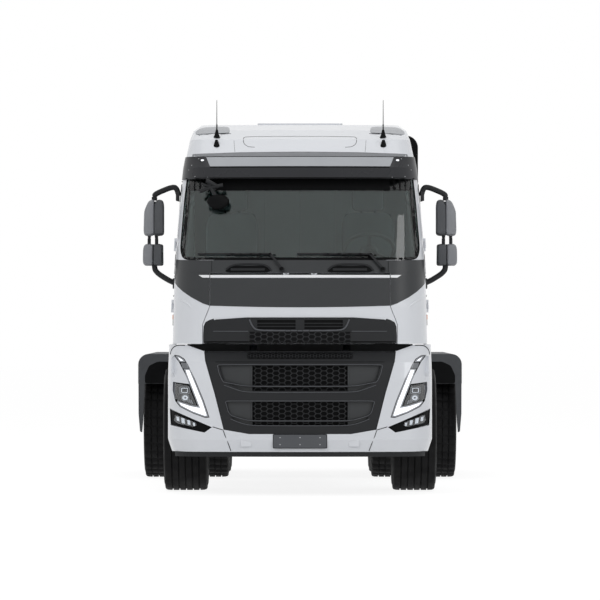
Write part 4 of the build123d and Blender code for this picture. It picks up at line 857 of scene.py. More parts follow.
# %% Screens, blanks and the upper strip
grille_skin = skin_of("lower_grille")
bumper_and_grille = skin_of("lower_grille", "bumper")
SCREEN_HALF = 0.412
BLANK_DEEP = 0.034
SCREEN_DEEP = 0.045
SHADOW_DEEP = 0.062
BLANK_TAPER = 0.35
OPENINGS = [
    # name, low, high, half width of the blanks at their top and bottom
    ("upper", 0.897, 1.113, 0.692, 0.52),
    ("lower", 0.599, 0.805, 0.632, 0.46),
]
grille_low, grille_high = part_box("lower_grille")


def grille_y(x, z):
    """How deep the panel's front would lie across an opening: the same bow as the panel's edges."""
    edge = on_skin(bumper_and_grille, "front", 0.70 if z > 0.85 else 0.64, z)
    middle = on_skin(grille_skin, "front", 0.0, 0.85)
    bow = (edge.y - middle.y) / (edge.x ** 2)
    return middle.y + bow * x * x


def bowed(outline, deep):
    """Front-view points on the bowed plane of an opening, set back by a depth."""
    return [Vector((u, grille_y(u, v) + deep, v)) for u, v in outline]


def add_bowed_panel(shape, x0, x1, z0, z1, taper, deep, thick, cuts=6):
    """A blank behind an opening, its lower corners drawn in by a taper."""
    layers = []
    for k in range(cuts + 1):
        x = x0 + (x1 - x0) * k / cuts
        top, foot = bowed([(x, z1), (x - taper * k / cuts, z0)], deep)
        layers.append([top, foot, foot + Vector((0, thick, 0)), top + Vector((0, thick, 0))])
    return add_layers(shape, layers)


for name, low, high, half_top, half_low in OPENINGS:
    screen = add_honeycomb(bmesh.new(), -SCREEN_HALF, SCREEN_HALF, low, high, lambda u,
        v: bowed([(u, v)], SCREEN_DEEP)[0], 0.010, trim=False)
    piece(f"{name}_screen", screen, dark_moulding, "chassis", edge_angle=25)
    ground = add_bowed_panel(bmesh.new(), -SCREEN_HALF - 0.01, SCREEN_HALF + 0.01, low - 0.01, high + 0.01, 0,
        SHADOW_DEEP, 0.004, cuts=12)
    piece(f"{name}_screen_shadow", ground, black_moulding_and_shade, "chassis")
    for side, word in SIDES:
        blank = add_bowed_panel(bmesh.new(), side * SCREEN_HALF, side * (half_top + 0.012), low - 0.012, high
            + 0.012, side * (half_top - half_low) * BLANK_TAPER, BLANK_DEEP, 0.006)
        add_rod(blank, bowed([(side * SCREEN_HALF, low), (side * SCREEN_HALF, high)], BLANK_DEEP), 0.007,
            sides=8)
        piece(f"{name}_blank_{word}", blank, satin_panel, "chassis", bevel=0.001)

# Painted highlights: grey rods along the openings' edges and along the top edges of the slats and lips, where
# light catches those edges.
OPENING_HIGHLIGHTS = [
    [(0.703, 1.110), (0.69, 1.119), (0.5, 1.12), (0.25, 1.12), (0.0, 1.12)],
    [(0.703, 1.110), (0.693, 1.06), (0.683, 1.03), (0.665, 0.988), (0.648, 0.97)],
    [(0.648, 0.97), (0.56, 0.954), (0.463, 0.937), (0.25, 0.935), (0.0, 0.935)],
    [(0.648, 0.945), (0.56, 0.914), (0.478, 0.887), (0.25, 0.884), (0.0, 0.884)],
    [(0.634, 0.802), (0.62, 0.811), (0.45, 0.811), (0.25, 0.811), (0.0, 0.811)],
    [(0.634, 0.802), (0.623, 0.76), (0.612, 0.72), (0.597, 0.698), (0.577, 0.684)],
    [(0.577, 0.684), (0.51, 0.662), (0.43, 0.643), (0.25, 0.641), (0.0, 0.641)],
    [(0.591, 0.657), (0.51, 0.624), (0.43, 0.603), (0.25, 0.6), (0.0, 0.6)],
]
highlight_shape = bmesh.new()
for line in OPENING_HIGHLIGHTS:
    for side in (1, -1):
        path = smooth_path([(side * x, 0, z) for x, z in line], 3)
        add_rod(highlight_shape, bowed([(point.x, point.z) for point in path], -POLE), 0.003, sides=8)
piece("grille_opening_highlights", highlight_shape, grey_moulding, "chassis")

small = add_honeycomb(bmesh.new(), -0.44, 0.44, 1.176, 1.214, lambda u,
    v: on_skin(grille_skin, "front", u, v, 0.0028), 0.002, 0.034, 0.021, 0.003)
piece("grille_strip_honeycomb", small, dark_moulding, "chassis", edge_angle=25)
# Painted shade: a black film behind the small hexagons darkens their cells.
draped_piece("grille_strip_shade", soft_box(-0.452, 0.452, 1.168, 1.222, 0.02), grille_skin, "front",
    black_moulding_and_shade, "chassis", thick=0.001, stand=0.001, bevel=0)
strip_edge = [on_skin(grille_skin, "front", x, 1.142) for x in [k * 0.09 for k in range(-8, 9)]]
piece("grille_strip_edge", add_rod(bmesh.new(), strip_edge, 0.0028, sides=8), black_moulding_and_shade, "chassis")
print("screens done, grille panel box", [round(value, 3) for value in (*grille_low, *grille_high)])

# %% [markdown]
# ## Headlamps
# The headlamp sits in a pocket in the bumper's corner. Its inside, from back to front, is: a black tray,
# two reflector modules in silver bezels, the V of the daytime light with an indicator block let into its
# upper end, a painted filler where the body colour runs on into the V, and a thin clear cover over the
# modules. The CAD's lamp solid stands in for the whole unit; these parts take its place.

# %% Outlines of the headlamp's parts
lamp_skin = skin_of("front_lamps")
TRAY = [(1.07, 1.196), (1.03, 1.196), (0.975, 1.175), (0.95, 1.13), (0.885, 0.998), (0.808, 0.813),
    (0.76, 0.655), (0.81, 0.65), (0.92, 0.69), (1.035, 0.745), (1.066, 0.806)]
UPPER_BLADE = [(1.07, 1.196), (1.036, 1.191), (0.993, 1.165), (0.978, 1.141), (1.028, 1.141)]
BLOCK = [(0.966, 1.134), (1.018, 1.134), (1.002, 1.088), (0.948, 1.088)]
MAIN_BAR = [(0.938, 1.084), (0.992, 1.084), (0.973, 1.03), (0.911, 0.875), (0.868, 0.764), (0.93, 0.775),
    (1.02, 0.803), (1.046, 0.813), (1.052, 0.8), (1.022, 0.762), (0.917, 0.71), (0.812, 0.673), (0.78, 0.676),
    (0.825, 0.813), (0.9, 0.995)]
CLUSTER = [(1.068, 0.96), (0.95, 0.942), (0.872, 0.752), (1.044, 0.816), (1.066, 0.828)]
FILLER = [(1.1, 1.19), (1.076, 1.192), (1.036, 1.142), (0.976, 1.03), (0.956, 0.984), (0.944, 0.954),
    (1.1, 0.972)]
print("lamp's skin at x 0.9 lies", round(on_skin(lamp_skin, "front", 0.9, 0.85).y - FRONT, 3),
    "m behind the front face")


def inset(outline, by):
    """A front-view outline drawn in by a distance on every side."""
    area = sum(a[0] * b[1] - b[0] * a[1] for a, b in zip(outline, outline[1:] + outline[:1]))
    turn = 1 if area > 0 else -1
    drawn = []
    for k, (x, z) in enumerate(outline):
        before = Vector((x - outline[k - 1][0], z - outline[k - 1][1])).normalized()
        after = Vector((outline[(k + 1) % len(outline)][0] - x,
            outline[(k + 1) % len(outline)][1] - z)).normalized()
        normal = Vector((-before.y - after.y, before.x + after.x)) * turn
        normal = normal.normalized() / max(normal.normalized().dot(Vector((-before.y, before.x)) * turn),
            0.35)
        drawn.append((x + normal.x * by, z + normal.y * by))
    return drawn


def lamp_panel(name, outline, side, material, deep, thick, bevel=0.001, step=0.03, **more):
    """A part of the headlamp at a depth behind the lamp's own skin."""
    return draped_piece(name, on_side(outline, side), lamp_skin, "front", material, "chassis", thick=thick,
        stand=-deep, bevel=bevel, step=step, **more)


# %% Trays, lit bars, indicators and fillers
RIM_WIDE = 0.011
for side, word in SIDES:
    lamp_panel(f"lamp_tray_{word}", TRAY, side, black_moulding_and_shade, 0.024, 0.010, replaces=("front_lamps",))
    for part, outline in (("blade", UPPER_BLADE), ("bar", MAIN_BAR)):
        lamp_panel(f"daylight_{part}_rim_{word}", outline, side, silver_film, 0.002, 0.012, bevel=0.002)
        lamp_panel(f"daylight_{part}_{word}", inset(outline, RIM_WIDE), side, lit_bar, 0.0005, 0.004,
            bevel=0.001)
    lamp_panel(f"indicator_block_{word}", BLOCK, side, silver_film, 0.004, 0.012, bevel=0.002)
    ribs = bmesh.new()
    for k in range(5):
        z = 1.094 + 0.0085 * k
        shift = (z - 1.088) * 0.38
        add_rod(ribs, [on_skin(lamp_skin, "front", side * (0.957 + shift + 0.04 * j), z, -0.003)
            for j in (0, 1)], 0.0022, sides=6)
    piece(f"indicator_ribs_{word}", ribs, grey_moulding, "chassis")
    lamp_panel(f"lamp_filler_{word}", FILLER, side, cab_lacquer, 0.0, 0.012, bevel=0.002, slot="cab_paint")
    lamp_panel(f"cluster_ground_{word}", CLUSTER, side, black_moulding_and_shade, 0.020, 0.003)

# %% [markdown]
# Each module is a bezel round a lens. The upper one is a projector: a dark square lens with a pale square
# of reflector in it. The lower one is a round reflector with its bulb shield in the middle and bright fins
# beside it. The cover lies on a slope, and the modules step back along it in rows, so their parts are set
# at small depths under the cover's own skin.

# %% Lamp modules
UPPER_MODULE = (0.986, 0.900)
LOWER_MODULE = (0.980, 0.836)


def lamp_rings(name, outline_at, rings, side, word):
    """Stacked outlines of one module, each smaller and nearer the front than the last."""
    for number, (size, material, deep) in enumerate(rings):
        lamp_panel(f"{name}_{number}_{word}", outline_at(size), side, material, deep, 0.003, bevel=0.0008,
            step=0.012)


def square_at(size):
    """The upper module's outline at a half width."""
    x, z = UPPER_MODULE
    return soft_box(x - size, x + size, z - size * 0.72, z + size * 0.72, size * 0.22)


def round_at(size):
    """The lower module's outline at a radius."""
    x, z = LOWER_MODULE
    return circle(x, z, size, 24, 0.86)


for side, word in SIDES:
    lamp_rings("projector", square_at, ((0.043, silver_film, 0.016), (0.037, black_moulding_and_shade, 0.013),
        (0.029, mirror_metal, 0.011), (0.021, black_moulding_and_shade, 0.009)), side, word)
    lamp_rings("reflector", round_at, ((0.036, silver_film, 0.016), (0.031, black_moulding_and_shade, 0.014),
        (0.026, mirror_metal, 0.012), (0.008, dark_moulding, 0.010)), side, word)
    fins = bmesh.new()
    for k in range(3):
        x0 = 0.912 + 0.017 * k
        z0 = 0.782 + 0.006 * k
        outline = [(side * x0, z0), (side * (x0 + 0.01), z0 + 0.004), (side * (x0 + 0.022), z0 + 0.036),
            (side * (x0 + 0.010), z0 + 0.034)]
        add_draped(fins, outline, lamp_skin, "front", 0.004, -0.014)
    piece(f"lamp_fins_{word}", fins, silver_film, "chassis", bevel=0.0008)
    lamp_panel(f"lamp_cover_{word}", CLUSTER, side, clear_cover, -0.0015, 0.0025, bevel=0.0008)

# %% [markdown]
# The fog lamps lie in a slanted recess under the headlamps: four square reflector cells in a grey housing
# with a black well, behind one clear cover.

# %% Fog lamps
FOG_RECESS = [(1.113, 0.730), (1.078, 0.720), (0.742, 0.596), (0.768, 0.562), (0.812, 0.545), (1.08, 0.6),
    (1.108, 0.612)]
FOG_HOUSING = [(1.066, 0.69), (0.895, 0.628), (0.882, 0.606), (0.908, 0.588), (1.05, 0.618), (1.076, 0.642)]
FOG_CELLS = [(0.904, 0.611, 0.013), (0.948, 0.626, 0.018), (0.998, 0.64, 0.021), (1.043, 0.655, 0.017)]
for side, word in SIDES:
    draped_piece(f"fog_recess_{word}", on_side(FOG_RECESS, side), lamp_skin, "front", black_moulding_and_shade,
        "chassis", thick=0.004, stand=-0.012, step=0.03)
    for name, outline, material, stand in (("fog_housing", FOG_HOUSING, grey_moulding, -0.006),
            ("fog_well", inset(FOG_HOUSING, 0.005), black_moulding_and_shade, -0.004)):
        draped_piece(f"{name}_{word}", on_side(outline, side), lamp_skin, "front", material, "chassis",
            thick=0.005, stand=stand, bevel=0.001, step=0.03)
    cells = bmesh.new()
    for x, z, half in FOG_CELLS:
        cell = [(side * (x + a * half), z + b * half * 1.1 + a * half * 0.3) for a,
            b in ((-0.85, -0.9), (0.5, -1.0), (0.85, 0.9), (-0.6, 1.0))]
        add_draped(cells, cell, lamp_skin, "front", 0.004, -0.001)
    piece(f"fog_cells_{word}", cells, mirror_metal, "chassis", bevel=0.001)
    draped_piece(f"fog_cover_{word}", on_side(FOG_HOUSING, side), lamp_skin, "front", clear_cover, "chassis",
        thick=0.002, stand=0.0015, bevel=0.0006, step=0.03)

# %% Dark line over the bumper's corners
CORNER_LINE = [(0.985, 1.283), (1.03, 1.285), (1.065, 1.279), (1.09, 1.262), (1.106, 1.237), (1.113, 1.205)]
for side, word in SIDES:
    path = smooth_path([(side * x, 0, z) for x, z in CORNER_LINE], 4)
    line = [on_skin(bumper_skin, "front", point.x, point.z, 0.001) for point in path]
    piece(f"bumper_corner_line_{word}", add_rod(bmesh.new(), line, 0.004, sides=6), black_moulding_and_shade, "chassis")

# %% [markdown]
# ## Bumper
# The bumper is three mouldings: a centre panel and two corners, painted with the cab. Their joints show as
# dark seams. The centre carries the number plate's place, left blank, held by six small screws.

# %% Seams, plate and screws
SEAM_LINES = [[(0.653, 0.56), (0.64, 0.52), (0.612, 0.45), (0.588, 0.385)],
    [(0.744, 0.590), (0.7, 0.577), (0.655, 0.564)]]
for side, word in SIDES:
    seams = bmesh.new()
    for line in SEAM_LINES:
        add_rod(seams, on_line(bumper_skin, "front", on_side(line, side)), 0.0034, sides=6)
    piece(f"bumper_seams_{word}", seams, black_moulding_and_shade, "chassis")
PLATE_HALF = 0.226
PLATE_EDGE = 0.005
PLATE_LOW = 0.412
PLATE_HIGH = 0.524
PLATE_PARTS = (("number_plate_edge", PLATE_EDGE, black_moulding_and_shade, 0.0),
    ("number_plate_holder", 0.0, grey_moulding, 0.0002))
for name, grow, material, proud in PLATE_PARTS:
    outline = soft_box(-PLATE_HALF - grow, PLATE_HALF + grow, PLATE_LOW - grow, PLATE_HIGH + grow, 0.01)
    piece(name, add_prism(bmesh.new(), outline, "y", FRONT + 0.004, FRONT - proud), material, "chassis")
screws = bmesh.new()
for x in (-0.17, 0.0, 0.17):
    for z in (0.44, 0.5):
        add_prism(screws, circle(x, z, 0.005, 10), "y", FRONT, FRONT - 0.0004)
piece("number_plate_screws", screws, bright_steel, "chassis")
towing = bmesh.new()
for side in (1, -1):
    spot = on_skin(bumper_skin, "front", side * 0.46, 0.462)
    add_prism(towing, soft_box(spot.x - 0.045, spot.x + 0.045, spot.z - 0.04, spot.z + 0.04, 0.012), "y",
        spot.y, spot.y - 0.0018, 0.98)
piece("towing_eye_lids", towing, cab_lacquer, "chassis", bevel=0.0006, slot="cab_paint")
print("lamps and bumper done")

# %% [markdown]
# ## Windshield and what frames it
# The windshield is bonded in. A black ceramic band is baked on round its edge to hide the glue, wider along
# the top where it also shades the eyes, and a rubber seal closes the gap to the metal. The band is a film,
# so it is a thin panel on the glass.

# %% Ceramic band and seal
glass_skin = skin_of("windshield")
FRIT = [
    [(-0.95, 2.61), (0.95, 2.61), (0.955, 2.665), (0.945, 2.752), (0.88, 2.788), (-0.88, 2.788),
     (-0.945, 2.752), (-0.955, 2.665)],
    [(-1.0, 2.045), (-0.86, 2.034), (0.86, 2.034), (1.0, 2.045), (0.985, 2.028), (0.86, 2.016),
     (-0.86, 2.016), (-0.985, 2.028)],
]
for side in (1, -1):
    FRIT.append(on_side([(0.95, 2.665), (0.974, 2.61), (0.986, 2.45), (1.0, 2.28), (1.016, 2.11),
        (1.0, 2.045), (0.985, 2.05), (0.99, 2.11), (0.972, 2.28), (0.957, 2.45), (0.944, 2.6)], side))
frit = bmesh.new()
for outline in FRIT:
    add_draped(frit, outline, glass_skin, "front", 0.0006, 0.0008)
piece("windshield_ceramic_band", frit, black_moulding_and_shade, "cab")
SEAL_HALF = [(0.0, 2.009), (0.45, 2.009), (0.86, 2.010), (0.97, 2.02), (1.006, 2.04), (1.024, 2.11),
    (1.008, 2.3), (0.993, 2.5), (0.975, 2.66), (0.962, 2.76)]
seal_line = [(-x, z) for x, z in SEAL_HALF[::-1]] + SEAL_HALF[1:]
seal_shape = add_rod(bmesh.new(), smooth_path(on_line(cab_skin, "front", seal_line, 0.002), 3), 0.007,
    sides=10)
piece("windshield_seal", seal_shape, seal_rubber, "cab")

# %% [markdown]
# ## Sun visor
# The visor is a tinted acrylic shell over the top of the glass. A silver strip with slanted ends fills its
# upper part, a small white marker lamp sits beyond each end of the strip, and five small screws a side hold
# the shell.

# %% Visor strip, markers and screws
visor_skin = skin_of("sun_visor")
VISOR_STRIP = [(-0.772, 2.816), (0.772, 2.816), (0.806, 2.899), (-0.806, 2.899)]
draped_piece("visor_silver_strip", VISOR_STRIP, visor_skin, "front", silver_film, "cab", thick=0.006,
    stand=0.006, bevel=0.002)
draped_piece("visor_strip_edge", [(-0.768, 2.806), (0.768, 2.806), (0.772, 2.815), (-0.772, 2.815)],
    visor_skin, "front", black_moulding_and_shade, "cab", thick=0.004, stand=0.003)
MARKER = (0.838, 2.872)
MARKER_HALF = (0.014, 0.008)
markers = bmesh.new()
marker_bases = bmesh.new()
visor_screws = bmesh.new()
for side in (1, -1):
    spot = on_skin(visor_skin, "front", side * MARKER[0], MARKER[1])
    for shape, grow, proud in ((marker_bases, 1.5, 0.004), (markers, 1.0, 0.008)):
        wide, tall = (size * grow for size in MARKER_HALF)
        outline = soft_box(spot.x - wide, spot.x + wide, spot.z - tall, spot.z + tall, 0.006)
        add_prism(shape, outline, "y", spot.y + 0.004, spot.y - proud, 0.9)
    for x, z in ((0.87, 2.885), (0.93, 2.83), (0.955, 2.79), (0.9, 2.73), (0.79, 2.72)):
        add_bolt(visor_screws, on_skin(visor_skin, "front", side * x, z), "y", 0.0035, 0.0015, -1)
piece("visor_markers", markers, lit_bar, "cab", bevel=0.001)
piece("visor_marker_bases", marker_bases, dark_moulding, "cab", bevel=0.001)
piece("visor_screws", visor_screws, bright_steel, "cab")
lip_points = [on_skin(visor_skin, "front", 0.98 * k / 10, 2.715, 0.001) for k in range(-10, 11)]
piece("visor_lower_lip", add_rod(bmesh.new(), lip_points, 0.005, sides=10), black_moulding_and_shade, "cab")

# %% [markdown]
# ## Roof
# The roof is one stiff shell with a raised rear part. Its panel joint runs across the front as a thin line
# that turns down at both ends, a drain channel follows the rise, and rounded corner blocks carry the fixing
# points of an air deflector. The two radio aerials stand on rubber feet; a lamp socket sits ahead of each.

# %% Roof joints and corner blocks
roof_skin = skin_of("cab_roof")
ROOF_LINES = [
    [(-0.39, 2.988), (-0.45, 2.993), (-0.485, 3.02), (-0.492, 3.075), (-0.46, 3.088), (0.46, 3.088),
     (0.492, 3.075), (0.485, 3.02), (0.45, 2.993), (0.39, 2.988)],
    [(-0.9, 2.928), (-0.5, 2.936), (0.0, 2.94), (0.5, 2.936), (0.9, 2.928)],
]
roof_lines = bmesh.new()
for line in ROOF_LINES:
    dense = smooth_path([(x, 0, z) for x, z in line], 3)
    add_rod(roof_lines, [on_skin(roof_skin, "front", point.x, point.z, 0.0002) for point in dense], 0.0022,
        sides=6)
for side in (1, -1):
    channel = on_side([(0.6, 3.118), (0.7, 3.116), (0.8, 3.11), (0.88, 3.1)], side)
    add_rod(roof_lines, on_line(roof_skin, "front", channel, 0.0005), 0.0028, sides=6)
    pull = on_side([(0.56, 2.945), (0.565, 2.99), (0.57, 3.05)], side)
    add_rod(roof_lines, on_line(roof_skin, "front", pull), 0.0012, sides=6)
# Painted shade: a grey band across the roof's front stands for the shade along its front edge.
roof_shade_band = [(-0.93, 2.908), (0.93, 2.908), (0.925, 2.93), (0.5, 2.944), (0.0, 2.948), (-0.5, 2.944),
    (-0.925, 2.93)]
draped_piece("roof_front_shade_band", roof_shade_band, roof_skin, "front", pale_moulding, "cab", thick=0.003, stand=0.003)
piece("roof_joints", roof_lines, black_moulding_and_shade, "cab")
PAD = [(0.61, 3.128), (0.9, 3.112), (0.915, 3.13), (0.88, 3.172), (0.84, 3.186), (0.65, 3.194), (0.615, 3.18)]
for side, word in SIDES:
    draped_piece(f"roof_corner_block_{word}", rounded(on_side(PAD, side), 0.02), roof_skin, "front",
        silver_film, "cab", thick=0.016, stand=0.014, bevel=0.006, segments=3, step=0.06)

# %% Aerials
fittings_low, fittings_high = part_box("cab_fittings")
AERIAL_X = 0.72
AERIAL_Y = FRONT + 0.64
SOCKET_Y = FRONT + 0.52
aerial_feet = bmesh.new()
whips = bmesh.new()
for side in (1, -1):
    add_turned(aerial_feet, [(3.06, POLE), (3.06, 0.036), (3.068, 0.036), (3.078, 0.030), (3.11, 0.018),
        (3.146, 0.010), (3.15, POLE)], (side * AERIAL_X, AERIAL_Y, 0), "z", 28, closed=False)
    add_turned(aerial_feet, [(2.99, POLE), (2.99, 0.032), (3.0, 0.032), (3.012, 0.024), (3.04, 0.016),
        (3.054, 0.012), (3.056, POLE)], (side * AERIAL_X, SOCKET_Y, 0), "z", 28, closed=False)
    add_turned(whips, [(3.146, POLE), (3.146, 0.0062), (3.19, 0.0062), (3.196, 0.0036), (3.402, 0.0022),
        (3.404, POLE)], (side * AERIAL_X, AERIAL_Y, 0), "z", 12, closed=False)
piece("aerial_feet", aerial_feet, black_moulding_and_shade, "cab", replaces=("cab_fittings",))
piece("aerial_whips", whips, dark_moulding, "cab")
print("fittings in the CAD reach", [round(value, 3) for value in (*fittings_low, *fittings_high)])

# %% [markdown]
# ## Close-view mirror
# The mirror over the right end of the windshield shows the driver what is just in front of the bumper. Its
# arm clips to the visor's edge through a two-eared bracket, and the mirror head is a domed oval shell
# facing back.

# %% Close-view mirror
HEAD = (-0.70, 2.51)
head_y = fittings_low.y + 0.05
mirror_arm = bmesh.new()
bracket_y = on_skin(visor_skin, "front", -0.76, 2.73).y
add_rod(mirror_arm,
    smooth_path([(-0.79, bracket_y - 0.004, 2.715), (-0.775, bracket_y - 0.03, 2.66),
    (-0.745, head_y + 0.02, 2.6), (-0.71, head_y + 0.012, 2.545)], 4), 0.016)
for x0, z0, x1, z1, wide in ((-0.86, 2.60, -0.66, 2.655, 0.02), (-0.80, 2.69, -0.70, 2.635, 0.022),
        (-0.845, 2.665, -0.72, 2.612, 0.013)):
    add_rod(mirror_arm,
        smooth_path([(x0, bracket_y - 0.028, z0), ((x0 + x1) / 2, bracket_y - 0.038, (z0 + z1) / 2 + 0.006),
        (x1, bracket_y - 0.028, z1)], 4), wide, sides=12, flat=0.8)
piece("front_mirror_arm", mirror_arm, dark_moulding, "cab")
HEAD_SIDES = 36
HEAD_STEPS = 6
head_layers = []
for step in range(HEAD_STEPS + 1):
    share = step / HEAD_STEPS
    grow = math.sqrt(max(1 - (1 - share) ** 2, 0.05))
    turns = [math.tau * k / HEAD_SIDES for k in range(HEAD_SIDES)]
    head_layers.append([(HEAD[0] + 0.094 * grow * math.cos(turn) * (1.0 + 0.08 * math.sin(turn)),
        head_y - 0.03 + 0.05 * share, HEAD[1] + 0.066 * grow * math.sin(turn)) for turn in turns])
piece("front_mirror_head", add_layers(bmesh.new(), head_layers), black_moulding_and_shade, "cab")
face_ring = circle(*HEAD, 0.084, HEAD_SIDES, 2 / 3)
piece("front_mirror_face", add_prism(bmesh.new(), face_ring, "y", head_y + 0.0205, head_y + 0.023, 0.98),
    mirror_metal, "cab")

# %% [markdown]
# ## Wipers
# Each wiper is a pressed steel arm on a splined pivot, with a joint cover near its root, and a blade of
# rubber in a jointed carrier that lets it follow the curved glass. The CAD arms and blades stay; the pivot
# caps, yokes and rubber edges go on them.

# %% Wiper details
wiper_skin = skin_of("wipers")
wiper_parts = bmesh.new()
rubber_edges = bmesh.new()
WIPERS = ((-0.157, -0.62), (0.705, 0.20))
for pivot, far_end in WIPERS:
    spot = on_skin(wiper_skin, "front", pivot, 1.934)
    add_turned(wiper_parts, [(-0.004, POLE), (-0.004, 0.012), (-0.001, 0.018), (0.008, 0.019), (0.008, POLE)],
        spot, "y", 20, closed=False)
    toward = 1 if far_end > pivot else -1
    for k in range(5):
        x = pivot + toward * (0.10 + (abs(far_end - pivot) - 0.14) * k / 4)
        place_here = on_skin(wiper_skin, "front", x, 2.065)
        add_prism(wiper_parts, box_outline(x - 0.008, x + 0.008, 2.058, 2.073), "y", place_here.y,
            place_here.y - 0.006, 0.8)
    rubber_line = [on_skin(glass_skin, "front", pivot
        + toward * (0.05 + (abs(far_end - pivot) - 0.04) * k / 12), 2.055, 0.006) for k in range(13)]
    add_rod(rubber_edges, rubber_line, 0.0045, sides=8)
piece("wiper_fittings", wiper_parts, black_moulding_and_shade, "cab", bevel=0.0008)
piece("wiper_rubbers", rubber_edges, seal_rubber, "cab")
print("glass and roof trim done")

# %% [markdown]
# ## Side mirrors
# On each door a C-shaped carrier holds two mirrors, one above the other: a tall flat main glass and a wide
# curved one under it. From the front you see the pale cover plate of each, set outboard, and the deep dark
# shell of its housing beside it. The shells taper and round forward, to part the air and keep the glass
# dry.

# %% Mirror shells and plates
SHELLS = [
    # name, shell outline (x, z), plate outline (x, z)
    ("main", [(1.178, 2.232), (1.262, 2.226), (1.272, 2.25), (1.27, 2.5), (1.235, 2.548), (1.19, 2.54),
              (1.178, 2.5)],
     [(1.262, 2.228), (1.343, 2.226), (1.356, 2.26), (1.35, 2.45), (1.312, 2.535), (1.262, 2.55)]),
    ("wide", [(1.192, 1.975), (1.255, 1.968), (1.276, 1.985), (1.276, 2.14), (1.25, 2.162), (1.2, 2.16),
              (1.19, 2.13)],
     [(1.272, 1.968), (1.35, 1.972), (1.362, 2.0), (1.36, 2.12), (1.345, 2.16), (1.272, 2.162)]),
]
ARMS = [
    [(1.05, 2.575), (1.066, 2.63), (1.085, 2.652), (1.13, 2.645), (1.215, 2.61), (1.262, 2.585),
     (1.262, 2.535)],
    [(1.245, 2.235), (1.243, 2.2), (1.243, 2.155)],
    [(1.305, 2.235), (1.307, 2.2), (1.307, 2.155)],
    [(1.262, 1.985), (1.258, 1.935), (1.225, 1.898), (1.14, 1.845), (1.088, 1.822)],
]


def add_shell(shape, outline, front_y, back_y, steps=6):
    """A domed housing: rounded outlines that swell from a small front to the full back."""
    soft = rounded(outline, 0.03, 5)
    middle = (sum(a for a, b in soft) / len(soft), sum(b for a, b in soft) / len(soft))
    layers = []
    for step in range(steps + 1):
        share = step / steps
        grow = 0.72 + 0.28 * math.sqrt(1 - (1 - share) ** 2)
        depth = front_y + (back_y - front_y) * share ** 1.5
        layers.append([(middle[0] + (a - middle[0]) * grow, depth, middle[1] + (b - middle[1]) * grow) for a,
            b in soft])
    return add_layers(shape, layers)


for side, word in SIDES:
    body = f"{word}_door"
    mirror_low, mirror_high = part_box(f"mirrors_{word}")
    mirror_front = mirror_low.y
    mirror_back = mirror_high.y
    deep = mirror_back - mirror_front
    shells = bmesh.new()
    plates = bmesh.new()
    glasses = bmesh.new()
    for name, shell_outline, plate_outline in SHELLS:
        add_shell(shells, on_side(shell_outline, side), mirror_front + deep * 0.12, mirror_back - 0.03)
        add_shell(plates, on_side(plate_outline, side), mirror_front + deep * 0.02, mirror_front + deep * 0.6)
        glass_outline = [(1.2, 2.25), (1.335, 2.25), (1.325, 2.44), (1.3, 2.51), (1.205, 2.525)]
        if name == "wide":
            glass_outline = [(1.21, 1.985), (1.335, 1.985), (1.335, 2.145), (1.21, 2.145)]
        frame_outline = rounded(on_side([(1.184, glass_outline[0][1] - 0.015),
            (1.352, glass_outline[1][1] - 0.015), *[(x + 0.012, z + 0.012) for x, z in glass_outline[2:-1]],
            (1.186, glass_outline[-1][1] + 0.012)], side), 0.02)
        add_prism(shells, frame_outline, "y", mirror_back - 0.03, mirror_back - 0.006, 0.99)
        add_prism(glasses, rounded(on_side(glass_outline, side), 0.018), "y", mirror_back - 0.0065,
            mirror_back - 0.004)
    arms = bmesh.new()
    arm_y = mirror_front + deep * 0.55
    for arm in ARMS:
        path = smooth_path([(side * x, arm_y, z) for x, z in arm], 4)
        add_rod(arms, path, 0.024 if len(arm) > 3 else 0.015, sides=14)
    for z, tall in ((2.575, 0.05), (1.822, 0.06)):
        base = soft_box(arm_y - 0.075, arm_y + 0.075, z - tall, z + tall * 0.8, 0.02)
        inner = 1.045 if z > 2 else 1.072
        add_prism(arms, base, "x", side * inner, side * (inner + 0.03), 0.8)
    piece(f"mirror_shells_{word}", shells, guard_moulding, body, bevel=0.002, replaces=(f"mirrors_{word}",))
    piece(f"mirror_plates_{word}", plates, pale_moulding, body, bevel=0.002)
    piece(f"mirror_arms_{word}", arms, dark_moulding, body, bevel=0.001)
    piece(f"mirror_glasses_{word}", glasses, mirror_metal, body)
print("mirrors lie between y", round(mirror_front, 3), "and", round(mirror_back, 3))

# %% [markdown]
# ## Tyres
# Steer tyres carry five straight grooves, because ribs roll easily and hold a line. Drive tyres are cut
# into blocks by cross slots as well, to bite. Both have a rounded shoulder, a bulged sidewall with a rim
# protector, and a bead that seats on the rim. The profile is turned about the axle, and its radius is
# lowered where a groove or a slot runs.

# %% Tyre maker
TYRE_RADIUS = 0.536
BEAD = 0.288
GROOVES = (-0.118, -0.059, 0.0, 0.059, 0.118)
GROOVE_HALF = 0.0065
GROOVE_DEEP = 0.013
SLOT_LEAN = 0.10  # turn of the outer tread for each metre across, which slants the slots


